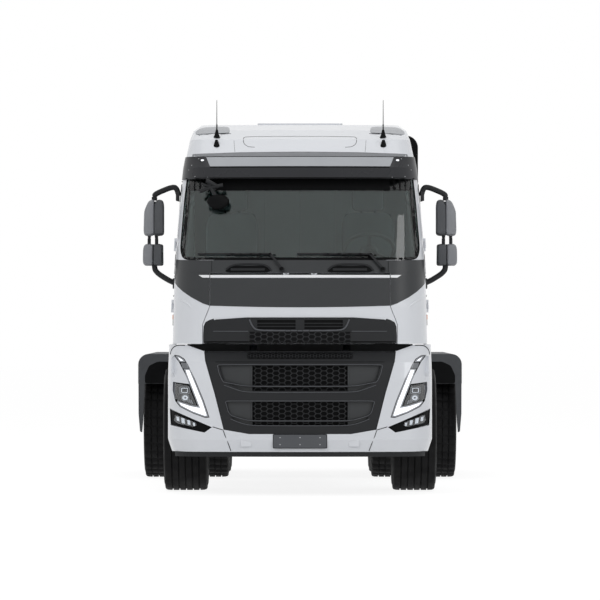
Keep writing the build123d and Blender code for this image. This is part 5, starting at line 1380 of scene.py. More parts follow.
def tread_profile():
    """Points (x, radius, kind) over one tyre's section; kind is "rib", "groove" or "wall"."""
    points = [(-0.150, BEAD, "wall"), (-0.168, BEAD + 0.006, "wall"), (-0.172, BEAD + 0.018, "wall"),
        (-0.180, BEAD + 0.026, "wall"), (-0.184, BEAD + 0.060, "wall"), (-0.1925, BEAD + 0.096, "wall"),
        (-0.193, BEAD + 0.135, "wall"), (-0.1905, BEAD + 0.172, "wall"), (-0.1925, BEAD + 0.180, "wall"),
        (-0.1925, BEAD + 0.190, "wall"), (-0.186, TYRE_RADIUS - 0.040, "wall"),
        (-0.184, TYRE_RADIUS - 0.018, "rib"), (-0.176, TYRE_RADIUS - 0.007, "rib"),
        (-0.158, TYRE_RADIUS - 0.002, "rib")]
    for groove in GROOVES:
        points += [(groove - GROOVE_HALF, TYRE_RADIUS, "rib"),
            (groove - GROOVE_HALF * 0.6, TYRE_RADIUS - GROOVE_DEEP, "groove"),
            (groove + GROOVE_HALF * 0.6, TYRE_RADIUS - GROOVE_DEEP, "groove"),
            (groove + GROOVE_HALF, TYRE_RADIUS, "rib")]
    mirror_side = [(-x, radius, kind) for x, radius, kind in points[:14][::-1]]
    return points + mirror_side


def add_tyre(shape, centre, slot_every, slot_deep, slot_zone, steps):
    """A tyre turned about the x axis; ribs outside slot_zone are notched at every few steps."""
    profile = tread_profile()
    layers = []
    for step in range(steps):
        ring = []
        for x, radius, kind in profile:
            notched = kind == "rib" and abs(x) >= slot_zone and step % slot_every < 1
            reach = min(radius, TYRE_RADIUS - slot_deep) if notched else radius
            turn = math.tau * step / steps + (x * SLOT_LEAN if abs(x) > 0.06 else 0.0)
            ring.append(centre + Vector((x, reach * math.cos(turn), reach * math.sin(turn))))
        layers.append(ring)
    return add_layers(shape, layers, caps=False, around=True)


# %% [markdown]
# ## Rims
# A steel truck rim is a rolled barrel with a pressed disc welded in. Ten oval holes in the disc let air
# reach the brake, ten nuts on a 335 mm circle hold it to the hub, and a turned cap closes the hub. Front
# discs stand outward; on the drive wheels the outer one is dished in, so that both twins bolt to one hub
# face.

# %% Rim maker
BARREL = 0.286
HOLE_COUNT = 10
NUT_CIRCLE = 0.1675
HUB_RIM = 0.118


def add_barrel(shape, centre, outward):
    """The rolled barrel with its two flanges; outward is the side of the drop well's shallow end."""
    profile = [(-0.158, BARREL + 0.001), (-0.164, BARREL - 0.004), (-0.164, BARREL - 0.012),
        (-0.150, BARREL - 0.014), (-0.10, BARREL - 0.022), (-0.03, BARREL - 0.034), (0.05, BARREL - 0.024),
        (0.150, BARREL - 0.014), (0.164, BARREL - 0.012), (0.164, BARREL - 0.004), (0.158, BARREL + 0.001),
        (0.12, BARREL), (0.05, BARREL - 0.012), (-0.03, BARREL - 0.022), (-0.10, BARREL - 0.010),
        (-0.12, BARREL)]
    add_turned(shape, [(x * outward, radius) for x, radius in profile], centre, "x", 72)


def add_disc(shape, centre, disc, cone, outward):
    """A disc with ten real holes; disc is its plane beyond the centre, cone how far its edge drops back."""
    around = HOLE_COUNT * 8
    radii = [HUB_RIM, 0.150, 0.188, 0.197, 0.222, 0.234, 0.262]
    drops = [0.0, 0.0, 0.004, 0.008, 0.022, 0.030, cone]
    thick = 0.011
    layers = []
    for back in (0, 1):
        rows = []
        for radius, drop in zip(radii, drops):
            along = centre[0] + outward * (disc - drop - back * thick)
            rows.append([shape.verts.new((along, centre[1] + radius * math.cos(math.tau * k / around),
                centre[2] + radius * math.sin(math.tau * k / around))) for k in range(around)])
        layers.append(rows)
    kept = {}
    for row in range(len(radii) - 1):
        for k in range(around):
            phase = k % 8
            hole = (row == 3 and 2 <= phase <= 5) or (row in (2, 4) and 3 <= phase <= 4)
            kept[row, k] = not hole
    for (row, k), solid in kept.items():
        if not solid:
            continue
        after = (k + 1) % around
        for rows in layers:
            shape.faces.new([rows[row][k], rows[row][after], rows[row + 1][after], rows[row + 1][k]])
        borders = {(row, (k - 1) % around): ((row, k), (row + 1, k)),
            (row, after): ((row, after), (row + 1, after)), (row - 1, k): ((row, k), (row, after)),
            (row + 1, k): ((row + 1, k), (row + 1, after))}
        for neighbour, ((row_a, k_a), (row_b, k_b)) in borders.items():
            if not kept.get(neighbour, False):
                shape.faces.new([layers[0][row_a][k_a], layers[0][row_b][k_b], layers[1][row_b][k_b],
                    layers[1][row_a][k_a]])


def add_hub(shape, nuts, centre, face, end, outward):
    """Hub with its cap, and ten nuts on the disc's face."""
    x = centre[0]
    profile = [(face - 0.16, POLE), (face - 0.16, HUB_RIM + 0.001), (face + 0.002, HUB_RIM + 0.001),
        (face + 0.012, 0.108), (end - 0.022, 0.100), (end - 0.010, 0.092), (end - 0.004, 0.070),
        (end - 0.001, 0.045), (end - 0.001, POLE)]
    add_turned(shape, [(along * outward, radius) for along, radius in profile], (x, centre[1], centre[2]),
        "x", 48, closed=False)
    for k in range(HOLE_COUNT):
        turn = math.tau * (k + 0.5) / HOLE_COUNT
        spot = (x + outward * face, centre[1] + NUT_CIRCLE * math.cos(turn), centre[2]
            + NUT_CIRCLE * math.sin(turn))
        add_bolt(nuts, spot, "x", 0.0165, 0.026, outward)


# %% Fit every wheel
WHEELS = [
    # tyre node prefix, rim node prefix, body prefix, tyre centres, slots' spacing, depth, zone's start
    ("tyre_front", "rim_front", "wheel_front", (1.0,), 3, 0.005, 0.150),
    ("tyres_mid", "rims_mid", "wheels_mid", (0.867, 1.287), 4, 0.012, 0.0),
    ("tyres_rear", "rims_rear", "wheels_rear", (0.867, 1.287), 4, 0.012, 0.0),
]
TYRE_STEPS = 156
for tyre_name, rim_name, body_name, centres, slot_every, slot_deep, slot_zone in WHEELS:
    for side, word in SIDES:
        low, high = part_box(f"{tyre_name}_{word}")
        axle_y = (low.y + high.y) / 2
        axle_z = (low.z + high.z) / 2
        body = f"{body_name}_{word}"
        tyre = bmesh.new()
        for x in centres:
            add_tyre(tyre, Vector((side * x, axle_y, axle_z)), slot_every, slot_deep, slot_zone, TYRE_STEPS)
        piece(f"{tyre_name}_tread_{word}", tyre, tyre_rubber, body, edge_angle=32,
            replaces=(f"{tyre_name}_{word}",))
        rims = bmesh.new()
        nuts = bmesh.new()
        if len(centres) == 1:
            centre = (side * centres[0], axle_y, axle_z)
            add_barrel(rims, centre, side)
            add_disc(rims, centre, 0.112, 0.05, side)
            add_hub(rims, nuts, centre, 0.112, 0.174, side)
        else:
            inner = (side * centres[0], axle_y, axle_z)
            outer = (side * centres[1], axle_y, axle_z)
            add_barrel(rims, inner, side)
            add_barrel(rims, outer, -side)
            add_disc(rims, inner, 0.204, 0.08, side)
            add_disc(rims, outer, 0.204, 0.08, -side)
            add_hub(rims, nuts, outer, -0.190, 0.088, side)
        piece(f"{rim_name}_steel_{word}", rims, rim_enamel, body, bevel=0.0015,
            replaces=(f"{rim_name}_{word}",))
        piece(f"{rim_name}_nuts_{word}", nuts, bright_steel, body, bevel=0.001)
print("wheels fitted", len(WHEELS) * 2)

# %% [markdown]
# ## Inside the cab
# Through the glass you see a dim interior: lined walls, two sprung seats, the bunk behind them and the
# wheel. The walls are lined with felted panels that stop the metal from sweating. Rays cast outwards from
# the middle of the cab find the inner skins that the panels lie on.

# %% Wall and door linings
CAB_MIDDLE = FRONT + 1.1
VIEWS["to_left"] = (Vector((1, 0, 0)), lambda u, v: Vector((0.2, u, v)))
VIEWS["to_right"] = (Vector((-1, 0, 0)), lambda u, v: Vector((-0.2, u, v)))
VIEWS["to_back"] = (Vector((0, 1, 0)), lambda u, v: Vector((u, CAB_MIDDLE, v)))
VIEWS["to_roof"] = (Vector((0, 0, 1)), lambda u, v: Vector((u, v, 2.0)))
back_skin = skin_of("cab_back")
draped_piece("back_lining", soft_box(-0.93, 0.93, 1.875, 2.76, 0.04), back_skin, "to_back", headlining, "cab",
    thick=0.012, stand=0.013, bevel=0.004, step=0.2)
ribs = bmesh.new()
for x in (-0.62, -0.31, 0.0, 0.31, 0.62):
    add_rod(ribs, [on_skin(back_skin, "to_back", x, z, 0.016) for z in (1.9, 2.3, 2.74)], 0.006, sides=8)
piece("back_lining_ribs", ribs, headlining, "cab")
for side, word in SIDES:
    inner_view = f"to_{word}"
    door_skin = skin_of(f"door_{word}")
    side_skin = skin_of(f"cab_side_{word}")
    card = soft_box(FRONT + 0.72, FRONT + 1.5, 1.42, 1.84, 0.05)
    draped_piece(f"door_card_{word}", card, door_skin, inner_view, dark_moulding, f"{word}_door", thick=0.012,
        stand=0.013, bevel=0.004, step=0.15)
    rest = [on_skin(door_skin, inner_view, FRONT + along, 1.72, 0.03)
        for along in (0.78, 0.95, 1.15, 1.35, 1.44)]
    piece(f"door_armrest_{word}", add_rod(bmesh.new(), rest, 0.028, sides=14, flat=0.7), wheel_leather,
        f"{word}_door")
    panel = soft_box(FRONT + 1.62, FRONT + 1.96, 1.9, 2.7, 0.05)
    draped_piece(f"side_lining_{word}", panel, side_skin, inner_view, headlining, "cab", thick=0.01,
        stand=0.011, bevel=0.003, step=0.15)
roof_panel = soft_box(-0.86, 0.86, FRONT + 1.82, FRONT + 1.98, 0.03)
draped_piece("roof_lining", roof_panel, skin_of("cab_roof"), "to_roof", headlining, "cab", thick=0.01,
    stand=0.012, bevel=0.003, step=0.2)

# %% [markdown]
# Seats are foam under sewn cloth. Foam pushes out where nothing holds it, so each pad is crowned in the
# middle and drawn in along its sides between the corners, and the sewn channels pull it down in straight
# lines. A pad starts as a finely divided block; each point is pushed onto a rounded body, then crowned and
# creased. Piping runs round the seam between its two faces.

# %% Padded forms
def add_pad(centre, half, lean=0.0, crown=0.12, pinch=0.05, channels=(), cuts=13, power=4.5):
    """A crowned pad: half sizes along x, its thickness y and height z; lean tips its top back."""
    shape = bmesh.new()
    bmesh.ops.create_cube(shape, size=2.0)
    bmesh.ops.subdivide_edges(shape, edges=shape.edges[:], cuts=cuts, use_grid_fill=True)
    turn = Matrix.Rotation(-lean, 3, "X")
    for vertex in shape.verts:
        x, y, z = vertex.co
        size = (abs(x) ** power + abs(y) ** power + abs(z) ** power) ** (1 / power)
        x, y, z = x / size, y / size, z / size
        swell = (1 - x * x) * (1 - z * z)
        groove = sum(math.exp(-((x - place) / 0.035) ** 2) for place in channels)
        y *= 1 - crown + crown * swell - 0.10 * groove * swell
        drawn = 1 - pinch * (1 - y * y)
        spread = Vector((x * (1 - pinch * (1 - z * z)) * drawn, y, z * (1 - pinch * (1 - x * x)) * drawn))
        vertex.co = centre + turn @ Vector((spread.x * half[0], spread.y * half[1], spread.z * half[2]))
    return shape


def piping(centre, half, lean=0.0, pinch=0.05, power=4.5, radius=0.005):
    """The corded seam round the middle of a pad's edge."""
    turn = Matrix.Rotation(-lean, 3, "X")
    line = []
    for k in range(73):
        angle = math.tau * k / 72
        x, z = math.cos(angle), math.sin(angle)
        size = (abs(x) ** power + abs(z) ** power) ** (1 / power)
        x, z = x / size, z / size
        drawn = 1 - pinch
        line.append(centre
            + turn @ Vector((x * (1 - pinch * (1 - z * z)) * drawn * half[0], 0,
            z * (1 - pinch * (1 - x * x)) * drawn * half[2])))
    return add_rod(bmesh.new(), line, radius, sides=8, up=(0, 1, 0.01))


# %% Seats
SEAT_LEAN = math.radians(10)
LAID_FLAT = math.radians(90)
SEAT_X = 0.6
for side, word in SIDES:
    x = side * SEAT_X
    pads = [
        # name, centre, half sizes, lean, crown, channels
        ("cushion", (x, FRONT + 1.11, 1.768), (0.255, 0.062, 0.245), LAID_FLAT, 0.22, (-0.55, 0.55)),
        ("backrest", (x, FRONT + 1.39, 2.13), (0.245, 0.058, 0.345), SEAT_LEAN, 0.25, (-0.5, 0.5)),
        ("headrest", (x, FRONT + 1.44, 2.56), (0.148, 0.043, 0.108), SEAT_LEAN, 0.3, ()),
    ]
    for name, centre, half, lean, crown, channels in pads:
        pad = piece(f"seat_{name}_{word}", add_pad(Vector(centre), half, lean, crown, 0.04, channels),
            seat_cloth, "cab", edge_angle=80, replaces=("seats",))
        cord = piping(Vector(centre), half, lean, 0.04)
        piece(f"seat_{name}_piping_{word}", cord, seal_rubber, "cab")
    base = bmesh.new()
    y = FRONT + 1.08
    add_prism(base, soft_box(x - 0.135, x + 0.135, y - 0.175, y + 0.175, 0.03), "z", 1.35, 1.42)
    for k in range(6):
        add_prism(base, soft_box(x - 0.115 + 0.006 * (k % 2), x + 0.115 - 0.006 * (k % 2), y - 0.15, y + 0.15,
            0.03), "z", 1.42 + 0.042 * k, 1.46 + 0.042 * k, 0.97)
    add_prism(base, soft_box(x - 0.2, x + 0.2, y - 0.19, y + 0.2, 0.03), "z", 1.675, 1.703)
    for step in (-0.06, 0.06):
        add_rod(base, [(x + step, FRONT + 1.425, 2.44), (x + step, FRONT + 1.435, 2.5)], 0.008, sides=10)
    add_prism(base, soft_box(x - 0.21, x + 0.21, 1.86, 2.44, 0.05), "y", FRONT + 1.465, FRONT + 1.488, 0.96)
    piece(f"seat_frame_{word}", base, dark_moulding, "cab", bevel=0.003)

# %% Bunk
bunk_low, bunk_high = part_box("bunk")
bunk_centre = Vector((0, (bunk_low.y + bunk_high.y) / 2, (bunk_low.z + bunk_high.z) / 2 + 0.02))
bunk_half = (0.985, (bunk_high.z - bunk_low.z) / 2 - 0.022, (bunk_high.y - bunk_low.y) / 2 - 0.012)
mattress = piece("bunk_mattress", add_pad(bunk_centre, bunk_half, LAID_FLAT, 0.12, 0.012,
    [k / 5 for k in range(-4, 5)], 24, 7.0), bunk_cloth, "cab", edge_angle=80, replaces=("bunk",))
piece("bunk_piping", piping(bunk_centre, bunk_half, LAID_FLAT, 0.012, 7.0, 0.006), seal_rubber, "cab")
board = bmesh.new()
add_prism(board, soft_box(-0.96, 0.96, bunk_low.y + 0.03, bunk_high.y - 0.01, 0.02), "z", bunk_low.z + 0.001,
    bunk_low.z + 0.018)
piece("bunk_board", board, dark_moulding, "cab", bevel=0.002)

# %% [markdown]
# The dashboard wraps round the driver. Its top is the CAD's own; on it go the instrument hood with its
# screen, a row of air vents, the centre screen and a non-slip mat. The wheel keeps its CAD rim and gains a
# padded boss, with a bright ring round its switches.

# %% Dashboard and wheel
dash_skin = skin_of("dashboard")
VIEWS["from_seat"] = (Vector((0, -1, 0)), lambda u, v: Vector((u, CAB_MIDDLE, v)))
dash_parts = bmesh.new()
add_draped(dash_parts, soft_box(0.36, 0.84, FRONT + 0.30, FRONT + 0.46, 0.05), dash_skin, "top", 0.03, 0.035)
add_draped(dash_parts, soft_box(-0.9, 0.25, FRONT + 0.22, FRONT + 0.4, 0.05), dash_skin, "top", 0.006, 0.008)
piece("dashboard_hood_and_mat", dash_parts, seal_rubber, "cab", bevel=0.004)
screens = bmesh.new()
for x0, x1, z0, z1 in ((0.42, 0.78, 1.76, 1.85), (-0.02, 0.24, 1.73, 1.84)):
    add_draped(screens, soft_box(x0, x1, z0, z1, 0.012), dash_skin, "from_seat", 0.006, 0.008)
piece("dashboard_screens", screens, satin_panel, "cab", bevel=0.001)
vents = bmesh.new()
for x0 in (-0.8, -0.32, 0.28, 0.82):
    for k in range(5):
        z = 1.775 + 0.014 * k
        add_rod(vents, [on_skin(dash_skin, "from_seat", x0 + 0.02 * j, z, 0.004) for j in (0, 2, 4)], 0.004,
            sides=6)
piece("dashboard_vents", vents, grey_moulding, "cab")
wheel_low, wheel_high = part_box("steering_wheel")
WHEEL_TILT = math.radians(40)
boss_axis = Vector((0, math.sin(WHEEL_TILT), math.cos(WHEEL_TILT)))
boss_centre = Vector((SEAT_X, (wheel_low.y + wheel_high.y) / 2, (wheel_low.z + wheel_high.z) / 2))
boss_down = Vector((0, math.cos(WHEEL_TILT), -math.sin(WHEEL_TILT)))
boss_layers = []
for radius, rise in ((0.075, 0.012), (0.07, 0.022), (0.055, 0.028)):
    boss_layers.append([boss_centre + Vector((across, 0, 0)) + boss_down * along + boss_axis * rise
        for across, along in circle(0, 0, radius, 32, 0.85)])
piece("steering_wheel_boss", add_layers(bmesh.new(), boss_layers), wheel_leather, "driver_wheel")
trim_ring = []
for k in range(49):
    angle = math.tau * k / 48
    trim_ring.append(boss_centre + Vector((math.cos(angle) * 0.052, 0, 0)) + boss_axis * 0.0285
        + boss_down * 0.044 * math.sin(angle))
piece("steering_wheel_trim", add_rod(bmesh.new(), trim_ring, 0.0025, sides=8), bright_steel, "driver_wheel")
print("interior done")

# %% [markdown]
# The cab rides over the bumper with a gap that lets it tilt. A black rubber baffle behind the gap is painted
# shade: it fills the gap's depth with black, so that the gap reads as a dark line and nothing white shows
# through it. It is parted where the cab's two tilt arms pass.

# %% Baffle behind the gap
SHADE_BAFFLE_Y = FRONT + 0.196
SHADE_BAFFLE_TOP = 1.2945
shade_baffle = bmesh.new()
for x0, x1 in ((-0.966, -0.431), (-0.369, 0.369), (0.431, 0.966)):
    add_prism(shade_baffle, soft_box(x0, x1, 1.2, SHADE_BAFFLE_TOP, 0.01), "y", SHADE_BAFFLE_Y, SHADE_BAFFLE_Y + 0.006, 0.999)
piece("gap_shade_baffle", shade_baffle, seal_rubber, "chassis", bevel=0.001)
# Painted shade: a black strip under the cab's front edge, riding with the cab, closes the gap from above.
lip = add_prism(bmesh.new(), box_outline(-0.93, 0.93, 1.2888, 1.298), "y", FRONT + 0.150, FRONT + 0.154)
piece("cab_foot_shade", lip, seal_rubber, "cab")
rail_top = on_skin(skin_of("frame"), "top", 0.4, FRONT + 0.68).z
print("the frame's top under the buffers", round(rail_top, 3))
for side, word in SIDES:
    buffer = add_prism(bmesh.new(), box_outline(side * 0.345, side * 0.455, FRONT + 0.66, FRONT + 0.71), "z",
        rail_top - 0.002, 1.2885, 0.97)
    piece(f"cab_rest_buffer_{word}", buffer, seal_rubber, "chassis", bevel=0.004)
# Painted shade: black side pieces close the gap's ends.
for side, word in SIDES:
    wing = bmesh.new()
    add_prism(wing, box_outline(FRONT + 0.27, FRONT + 0.62, 1.2, 1.2885), "x", side * 1.026, side * 1.032,
        0.999)
    piece(f"gap_shade_baffle_side_{word}", wing, seal_rubber, "chassis", bevel=0.001)

# %% [markdown]
# ## Doors and cab sides
# Each door has a rubber seal round its window, a pull handle in a dark recess with its lock beside it, two
# hinges under covers, a black sill moulding and an amber side repeater. Behind it, a flush locker lid
# closes the space under the bunk, and air slots let the cab breathe out.

# %% Door trim
WINDOW = [(0.69, 1.87), (0.69, 2.70), (1.50, 2.70), (1.50, 1.93), (1.02, 1.93)]


def along_side(outline):
    """Side-view points given as (distance behind the front face, height)."""
    return [(FRONT + along, z) for along, z in outline]


for side, word in SIDES:
    door_skin = skin_of(f"door_{word}", f"door_glass_{word}")
    door_body = f"{word}_door"
    window = rounded(along_side(WINDOW), 0.03, 3)
    seal_path = on_line(door_skin, word, window + window[:1], 0.003)
    piece(f"window_seal_{word}", add_rod(bmesh.new(), seal_path, 0.009, sides=10, up=(1, 0, 0)), seal_rubber,
        door_body)
    recess = rounded(along_side(box_outline(1.34, 1.53, 1.66, 1.745)), 0.025)
    draped_piece(f"handle_recess_{word}", recess, door_skin, word, black_moulding_and_shade, door_body, thick=0.004,
        stand=0.003, bevel=0.001)
    grip = [on_skin(door_skin, word, FRONT + along, 1.712, stand) for along,
        stand in ((1.352, 0.004), (1.366, 0.02), (1.435, 0.026), (1.5, 0.02), (1.516, 0.004))]
    piece(f"door_handle_{word}", add_rod(bmesh.new(), smooth_path(grip, 3), 0.011, sides=12), dark_moulding,
        door_body)
    fittings = bmesh.new()
    lock = on_skin(door_skin, word, FRONT + 1.44, 1.682, 0.003)
    add_turned(fittings, [(0.0, POLE), (0.0, 0.014), (side * 0.005, 0.012), (side * 0.006, POLE)], lock, "x",
        20, closed=False)
    piece(f"door_lock_{word}", fittings, bright_steel, door_body, bevel=0.0006)
    sill = rounded(along_side(box_outline(0.64, 1.56, 1.312, 1.40)), 0.02)
    draped_piece(f"door_sill_{word}", sill, door_skin, word, dark_moulding, door_body, thick=0.006,
        stand=0.006, bevel=0.002)
    belt = along_side(box_outline(0.62, 1.56, 1.842, 1.856))
    draped_piece(f"door_belt_line_{word}", belt, door_skin, word, seal_rubber, door_body, stand=0.004)
    hinges = bmesh.new()
    for z in (1.5, 2.02):
        cover = rounded(along_side([(0.61, z - 0.05), (0.66, z - 0.04), (0.66, z + 0.04), (0.61, z + 0.05)]),
            0.012)
        add_draped(hinges, cover, door_skin, word, 0.01, 0.01)
    piece(f"door_hinge_covers_{word}", hinges, dark_moulding, door_body, bevel=0.003)
    body_side = skin_of(f"cab_side_{word}", "cab_back")
    locker = rounded(along_side(box_outline(1.64, 1.95, 1.36, 1.84)), 0.04)
    lid_line = on_line(body_side, word, locker + locker[:1], 0.0004)
    piece(f"locker_joint_{word}", add_rod(bmesh.new(), lid_line, 0.0025, sides=6, up=(1, 0, 0)), seal_rubber,
        "cab")
    slots = bmesh.new()
    for k in range(5):
        z = 2.5 - 0.03 * k
        add_rod(slots, [on_skin(body_side, word, FRONT + along, z, 0.002) for along in (1.7, 1.8, 1.9)],
            0.006, sides=8, up=(1, 0, 0))
    piece(f"cab_air_slots_{word}", slots, dark_moulding, "cab")
    front_side = skin_of("cab_front")
    lens = rounded(along_side(box_outline(0.46, 0.55, 1.505, 1.545)), 0.012)
    draped_piece(f"side_repeater_{word}", lens, front_side, word, amber_lens, "cab", thick=0.008, stand=0.008,
        bevel=0.002)
    grab_high = on_skin(body_side, word, FRONT + 1.618, 2.2).x
    rail_points = [(grab_high, FRONT + 1.612, 1.62), (grab_high + side * 0.018, FRONT + 1.612, 1.66),
        (grab_high + side * 0.012, FRONT + 1.612, 2.1), (grab_high - side * 0.006, FRONT + 1.612, 2.14)]
    piece(f"grab_rail_{word}", add_rod(bmesh.new(), smooth_path(rail_points, 3), 0.012, sides=12),
        dark_moulding, "cab")

# %% [markdown]
# ## Steps, tank and boxes
# The entry steps have punched aluminium treads. The fuel tank hangs in two straps with rubber under them,
# has pressed rings in its ends, and a filler cap on a neck. On the other side the battery box has a lid
# with two latches, and the exhaust box a louvred heat shield with its outlet.

# %% Steps
STEP_TOPS = (0.46, 0.79)
for side, word in SIDES:
    treads = bmesh.new()
    teeth = bmesh.new()
    for z in STEP_TOPS:
        add_prism(treads, soft_box(side * 0.862, side * 1.075, FRONT + 0.452, FRONT + 0.63, 0.008), "z",
            z + 0.0005, z + 0.004, 0.995)
        for i in range(7):
            for j in range(5):
                x = side * (0.885 + 0.029 * i)
                y = FRONT + 0.475 + 0.034 * j
                add_turned(teeth, [(z + 0.004, 0.010), (z + 0.008, 0.0075), (z + 0.008, 0.005),
                    (z + 0.0045, 0.004)], (x, y, 0), "z", 10)
    piece(f"step_treads_{word}", treads, tread_plate, "chassis", bevel=0.0006)
    piece(f"step_teeth_{word}", teeth, bright_steel, "chassis")

# %% Tank straps, rings and cap
tank_low, tank_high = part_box("fuel_tank")
TANK_IN = 0.470
TANK_ROUND = 0.110


def band_round(x0, x1, z0, z1, radius, grow):
    """A rounded rectangle's outline in x and z, grown outwards."""
    return soft_box(x0 - grow, x1 + grow, z0 - grow, z1 + grow, radius * 1.7, 8)


straps = bmesh.new()
pads = bmesh.new()
for along in (0.25, 1.24):
    y = tank_low.y + along
    for shape, wide, grow in ((pads, 0.034, 0.0015), (straps, 0.026, 0.0035)):
        inner = band_round(TANK_IN, tank_high.x, tank_low.z, tank_high.z, TANK_ROUND, 0.0 if grow < 0.002
            else 0.0015)
        outer = band_round(TANK_IN, tank_high.x, tank_low.z, tank_high.z, TANK_ROUND, grow)
        loops = ((outer, -wide), (outer, wide), (inner, wide), (inner, -wide))
        add_layers(shape, [[(a, y + shift, b) for a, b in loop] for loop, shift in loops], caps=False,
            around=True)
piece("tank_strap_pads", pads, seal_rubber, "chassis")
piece("tank_straps", straps, bright_steel, "chassis")
rings = bmesh.new()
for y, outward in ((tank_low.y, -1), (tank_high.y, 1)):
    for edge in (0.03, 0.11):
        loop = soft_box(TANK_IN + edge, tank_high.x - edge, tank_low.z + edge, tank_high.z - edge, 0.15, 8)
        add_rod(rings, [(a, y - outward * 0.002, b) for a, b in loop + loop[:1]], 0.006, sides=8,
            up=(0, 1, 0))
piece("tank_end_rings", rings, tank_metal, "chassis")
CAP_TILT = math.radians(38)
CAP_RIBS = 10
cap_centre = Vector((tank_high.x - 0.085, tank_low.y + 0.62, tank_high.z - 0.035))
tilt_axis = Vector((math.sin(CAP_TILT), 0, math.cos(CAP_TILT)))
side_axis = Vector((0, 1, 0))
third_axis = tilt_axis.cross(side_axis)
cap_layers = []
for radius, rise in ((0.052, -0.03), (0.052, 0.004), (0.060, 0.005), (0.060, 0.016), (0.050, 0.021),
        (0.018, 0.0225)):
    layer = []
    for k in range(CAP_RIBS * 4):
        turn = math.tau * k / (CAP_RIBS * 4)
        reach = radius + (0.0025 if k % 4 < 2 and 0.004 < rise < 0.018 else 0.0)
        spread = side_axis * math.cos(turn) + third_axis * math.sin(turn)
        layer.append(cap_centre + spread * reach + tilt_axis * rise)
    cap_layers.append(layer)
piece("tank_cap", add_layers(bmesh.new(), cap_layers), black_moulding_and_shade, "chassis", bevel=0.001)

# %% Battery box and exhaust box
boxes_low, boxes_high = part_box("side_boxes")
box_face = boxes_low.x
lids = bmesh.new()
latches = bmesh.new()
for y0, y1, z0, z1 in ((2.25, 2.86, 0.475, 0.945), (2.98, 3.68, 0.53, 0.90)):
    outline = rounded(along_side(box_outline(y0, y1, z0, z1)), 0.03)
    add_prism(lids, outline, "x", box_face + 0.004, box_face + 0.0004, 0.985)
piece("side_box_lids", lids, dark_moulding, "chassis", bevel=0.002)
louvres = bmesh.new()
for k in range(9):
    z = 0.57 + 0.035 * k
    add_rod(louvres, [(box_face + 0.0075, FRONT + along, z) for along in (3.04, 3.62)], 0.0075, sides=10)
piece("exhaust_louvres", louvres, bright_steel, "chassis")
for along in (2.38, 2.72):
    spot = FRONT + along
    add_prism(latches, soft_box(spot - 0.02, spot + 0.02, 0.9, 0.97, 0.008), "x", box_face + 0.006, box_face
        + 0.0005, 0.9)
piece("battery_box_latches", latches, seal_rubber, "chassis", bevel=0.0006)
ribs = bmesh.new()
for k in range(5):
    y = FRONT + 2.33 + 0.11 * k
    add_rod(ribs, [(x, y, boxes_high.z - 0.001) for x in (-1.07, -0.8, -0.52)], 0.005, sides=8)
piece("battery_box_ribs", ribs, dark_moulding, "chassis")
print("sides done: tank from z", round(tank_low.z, 2), "to", round(tank_high.z, 2))

# %% [markdown]
# ## Chassis
# Under the cab the frame carries its running gear. The rails are bolted, not welded, to their crossmembers,
# so rows of flanged bolts run along the webs. Leaf springs are held to the axle by U-bolts round a saddle.
# The drive axles ride on rolling-lobe air bags: a bag is a rubber tube that folds over its own piston.

# %% Frame bolts
RAIL_FACE = 0.425
bolts = bmesh.new()
for along in (0.9, 2.1, 2.18, 2.75, 2.83, 3.4, 3.9, 3.98, 4.3, 4.38, 4.86, 5.1, 5.18, 5.65, 5.73, 6.2, 6.5):
    for z in (0.775, 0.965):
        for side in (1, -1):
            add_bolt(bolts, (side * RAIL_FACE, FRONT + along, z), "x", 0.012, 0.014, side)
piece("frame_bolts", bolts, bright_steel, "chassis")

# %% Spring clips and U-bolts
SPRING_X = 0.385
clips = bmesh.new()
for side in (1, -1):
    x = side * SPRING_X
    for along in (-0.085, 0.085):
        for edge in (-0.036, 0.036):
            add_rod(clips, [(x + edge, FRONT_AXLE_Y + along * 0.4, 0.44),
                (x + edge, FRONT_AXLE_Y + along * 0.4, 0.60)], 0.009, sides=10)
    add_prism(clips, box_outline(x - 0.055, x + 0.055, FRONT_AXLE_Y - 0.075, FRONT_AXLE_Y + 0.075), "z",
        0.557, 0.578)
    for edge in (-0.036, 0.036):
        for along in (-0.034, 0.034):
            add_bolt(clips, (x + edge, FRONT_AXLE_Y + along, 0.578), "z", 0.011, 0.016, 1)
piece("front_spring_clamps", clips, casting, "chassis", bevel=0.001)

# %% Air bags
bags = bmesh.new()
plates = bmesh.new()
for tyre_name in ("tyres_mid_left", "tyres_rear_left"):
    low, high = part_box(tyre_name)
    axle_y = (low.y + high.y) / 2
    for side in (1, -1):
        for along in (-0.37, 0.37):
            profile = [(0.536, 0.046), (0.536, 0.082), (0.552, 0.086), (0.575, 0.083), (0.585, 0.098),
                (0.605, 0.110), (0.640, 0.112), (0.672, 0.108), (0.692, 0.094), (0.700, 0.07), (0.700, 0.046)]
            add_turned(bags, profile, (side * SPRING_X, axle_y + along, 0), "z", 40)
            add_turned(plates, [(0.700, 0.0465), (0.700, 0.088), (0.716, 0.088), (0.716, 0.0465)],
                (side * SPRING_X, axle_y + along, 0), "z", 32)
piece("air_bags", bags, tyre_rubber, "chassis")
piece("air_bag_plates", plates, bright_steel, "chassis", bevel=0.001)

# %% [markdown]
# The drive axles' housings have a pressed cover bolted round the differential. The engine shows its sump and
# a ribbed block, and the radiator its core of fins: these are seen from below, or with the cab tilted.

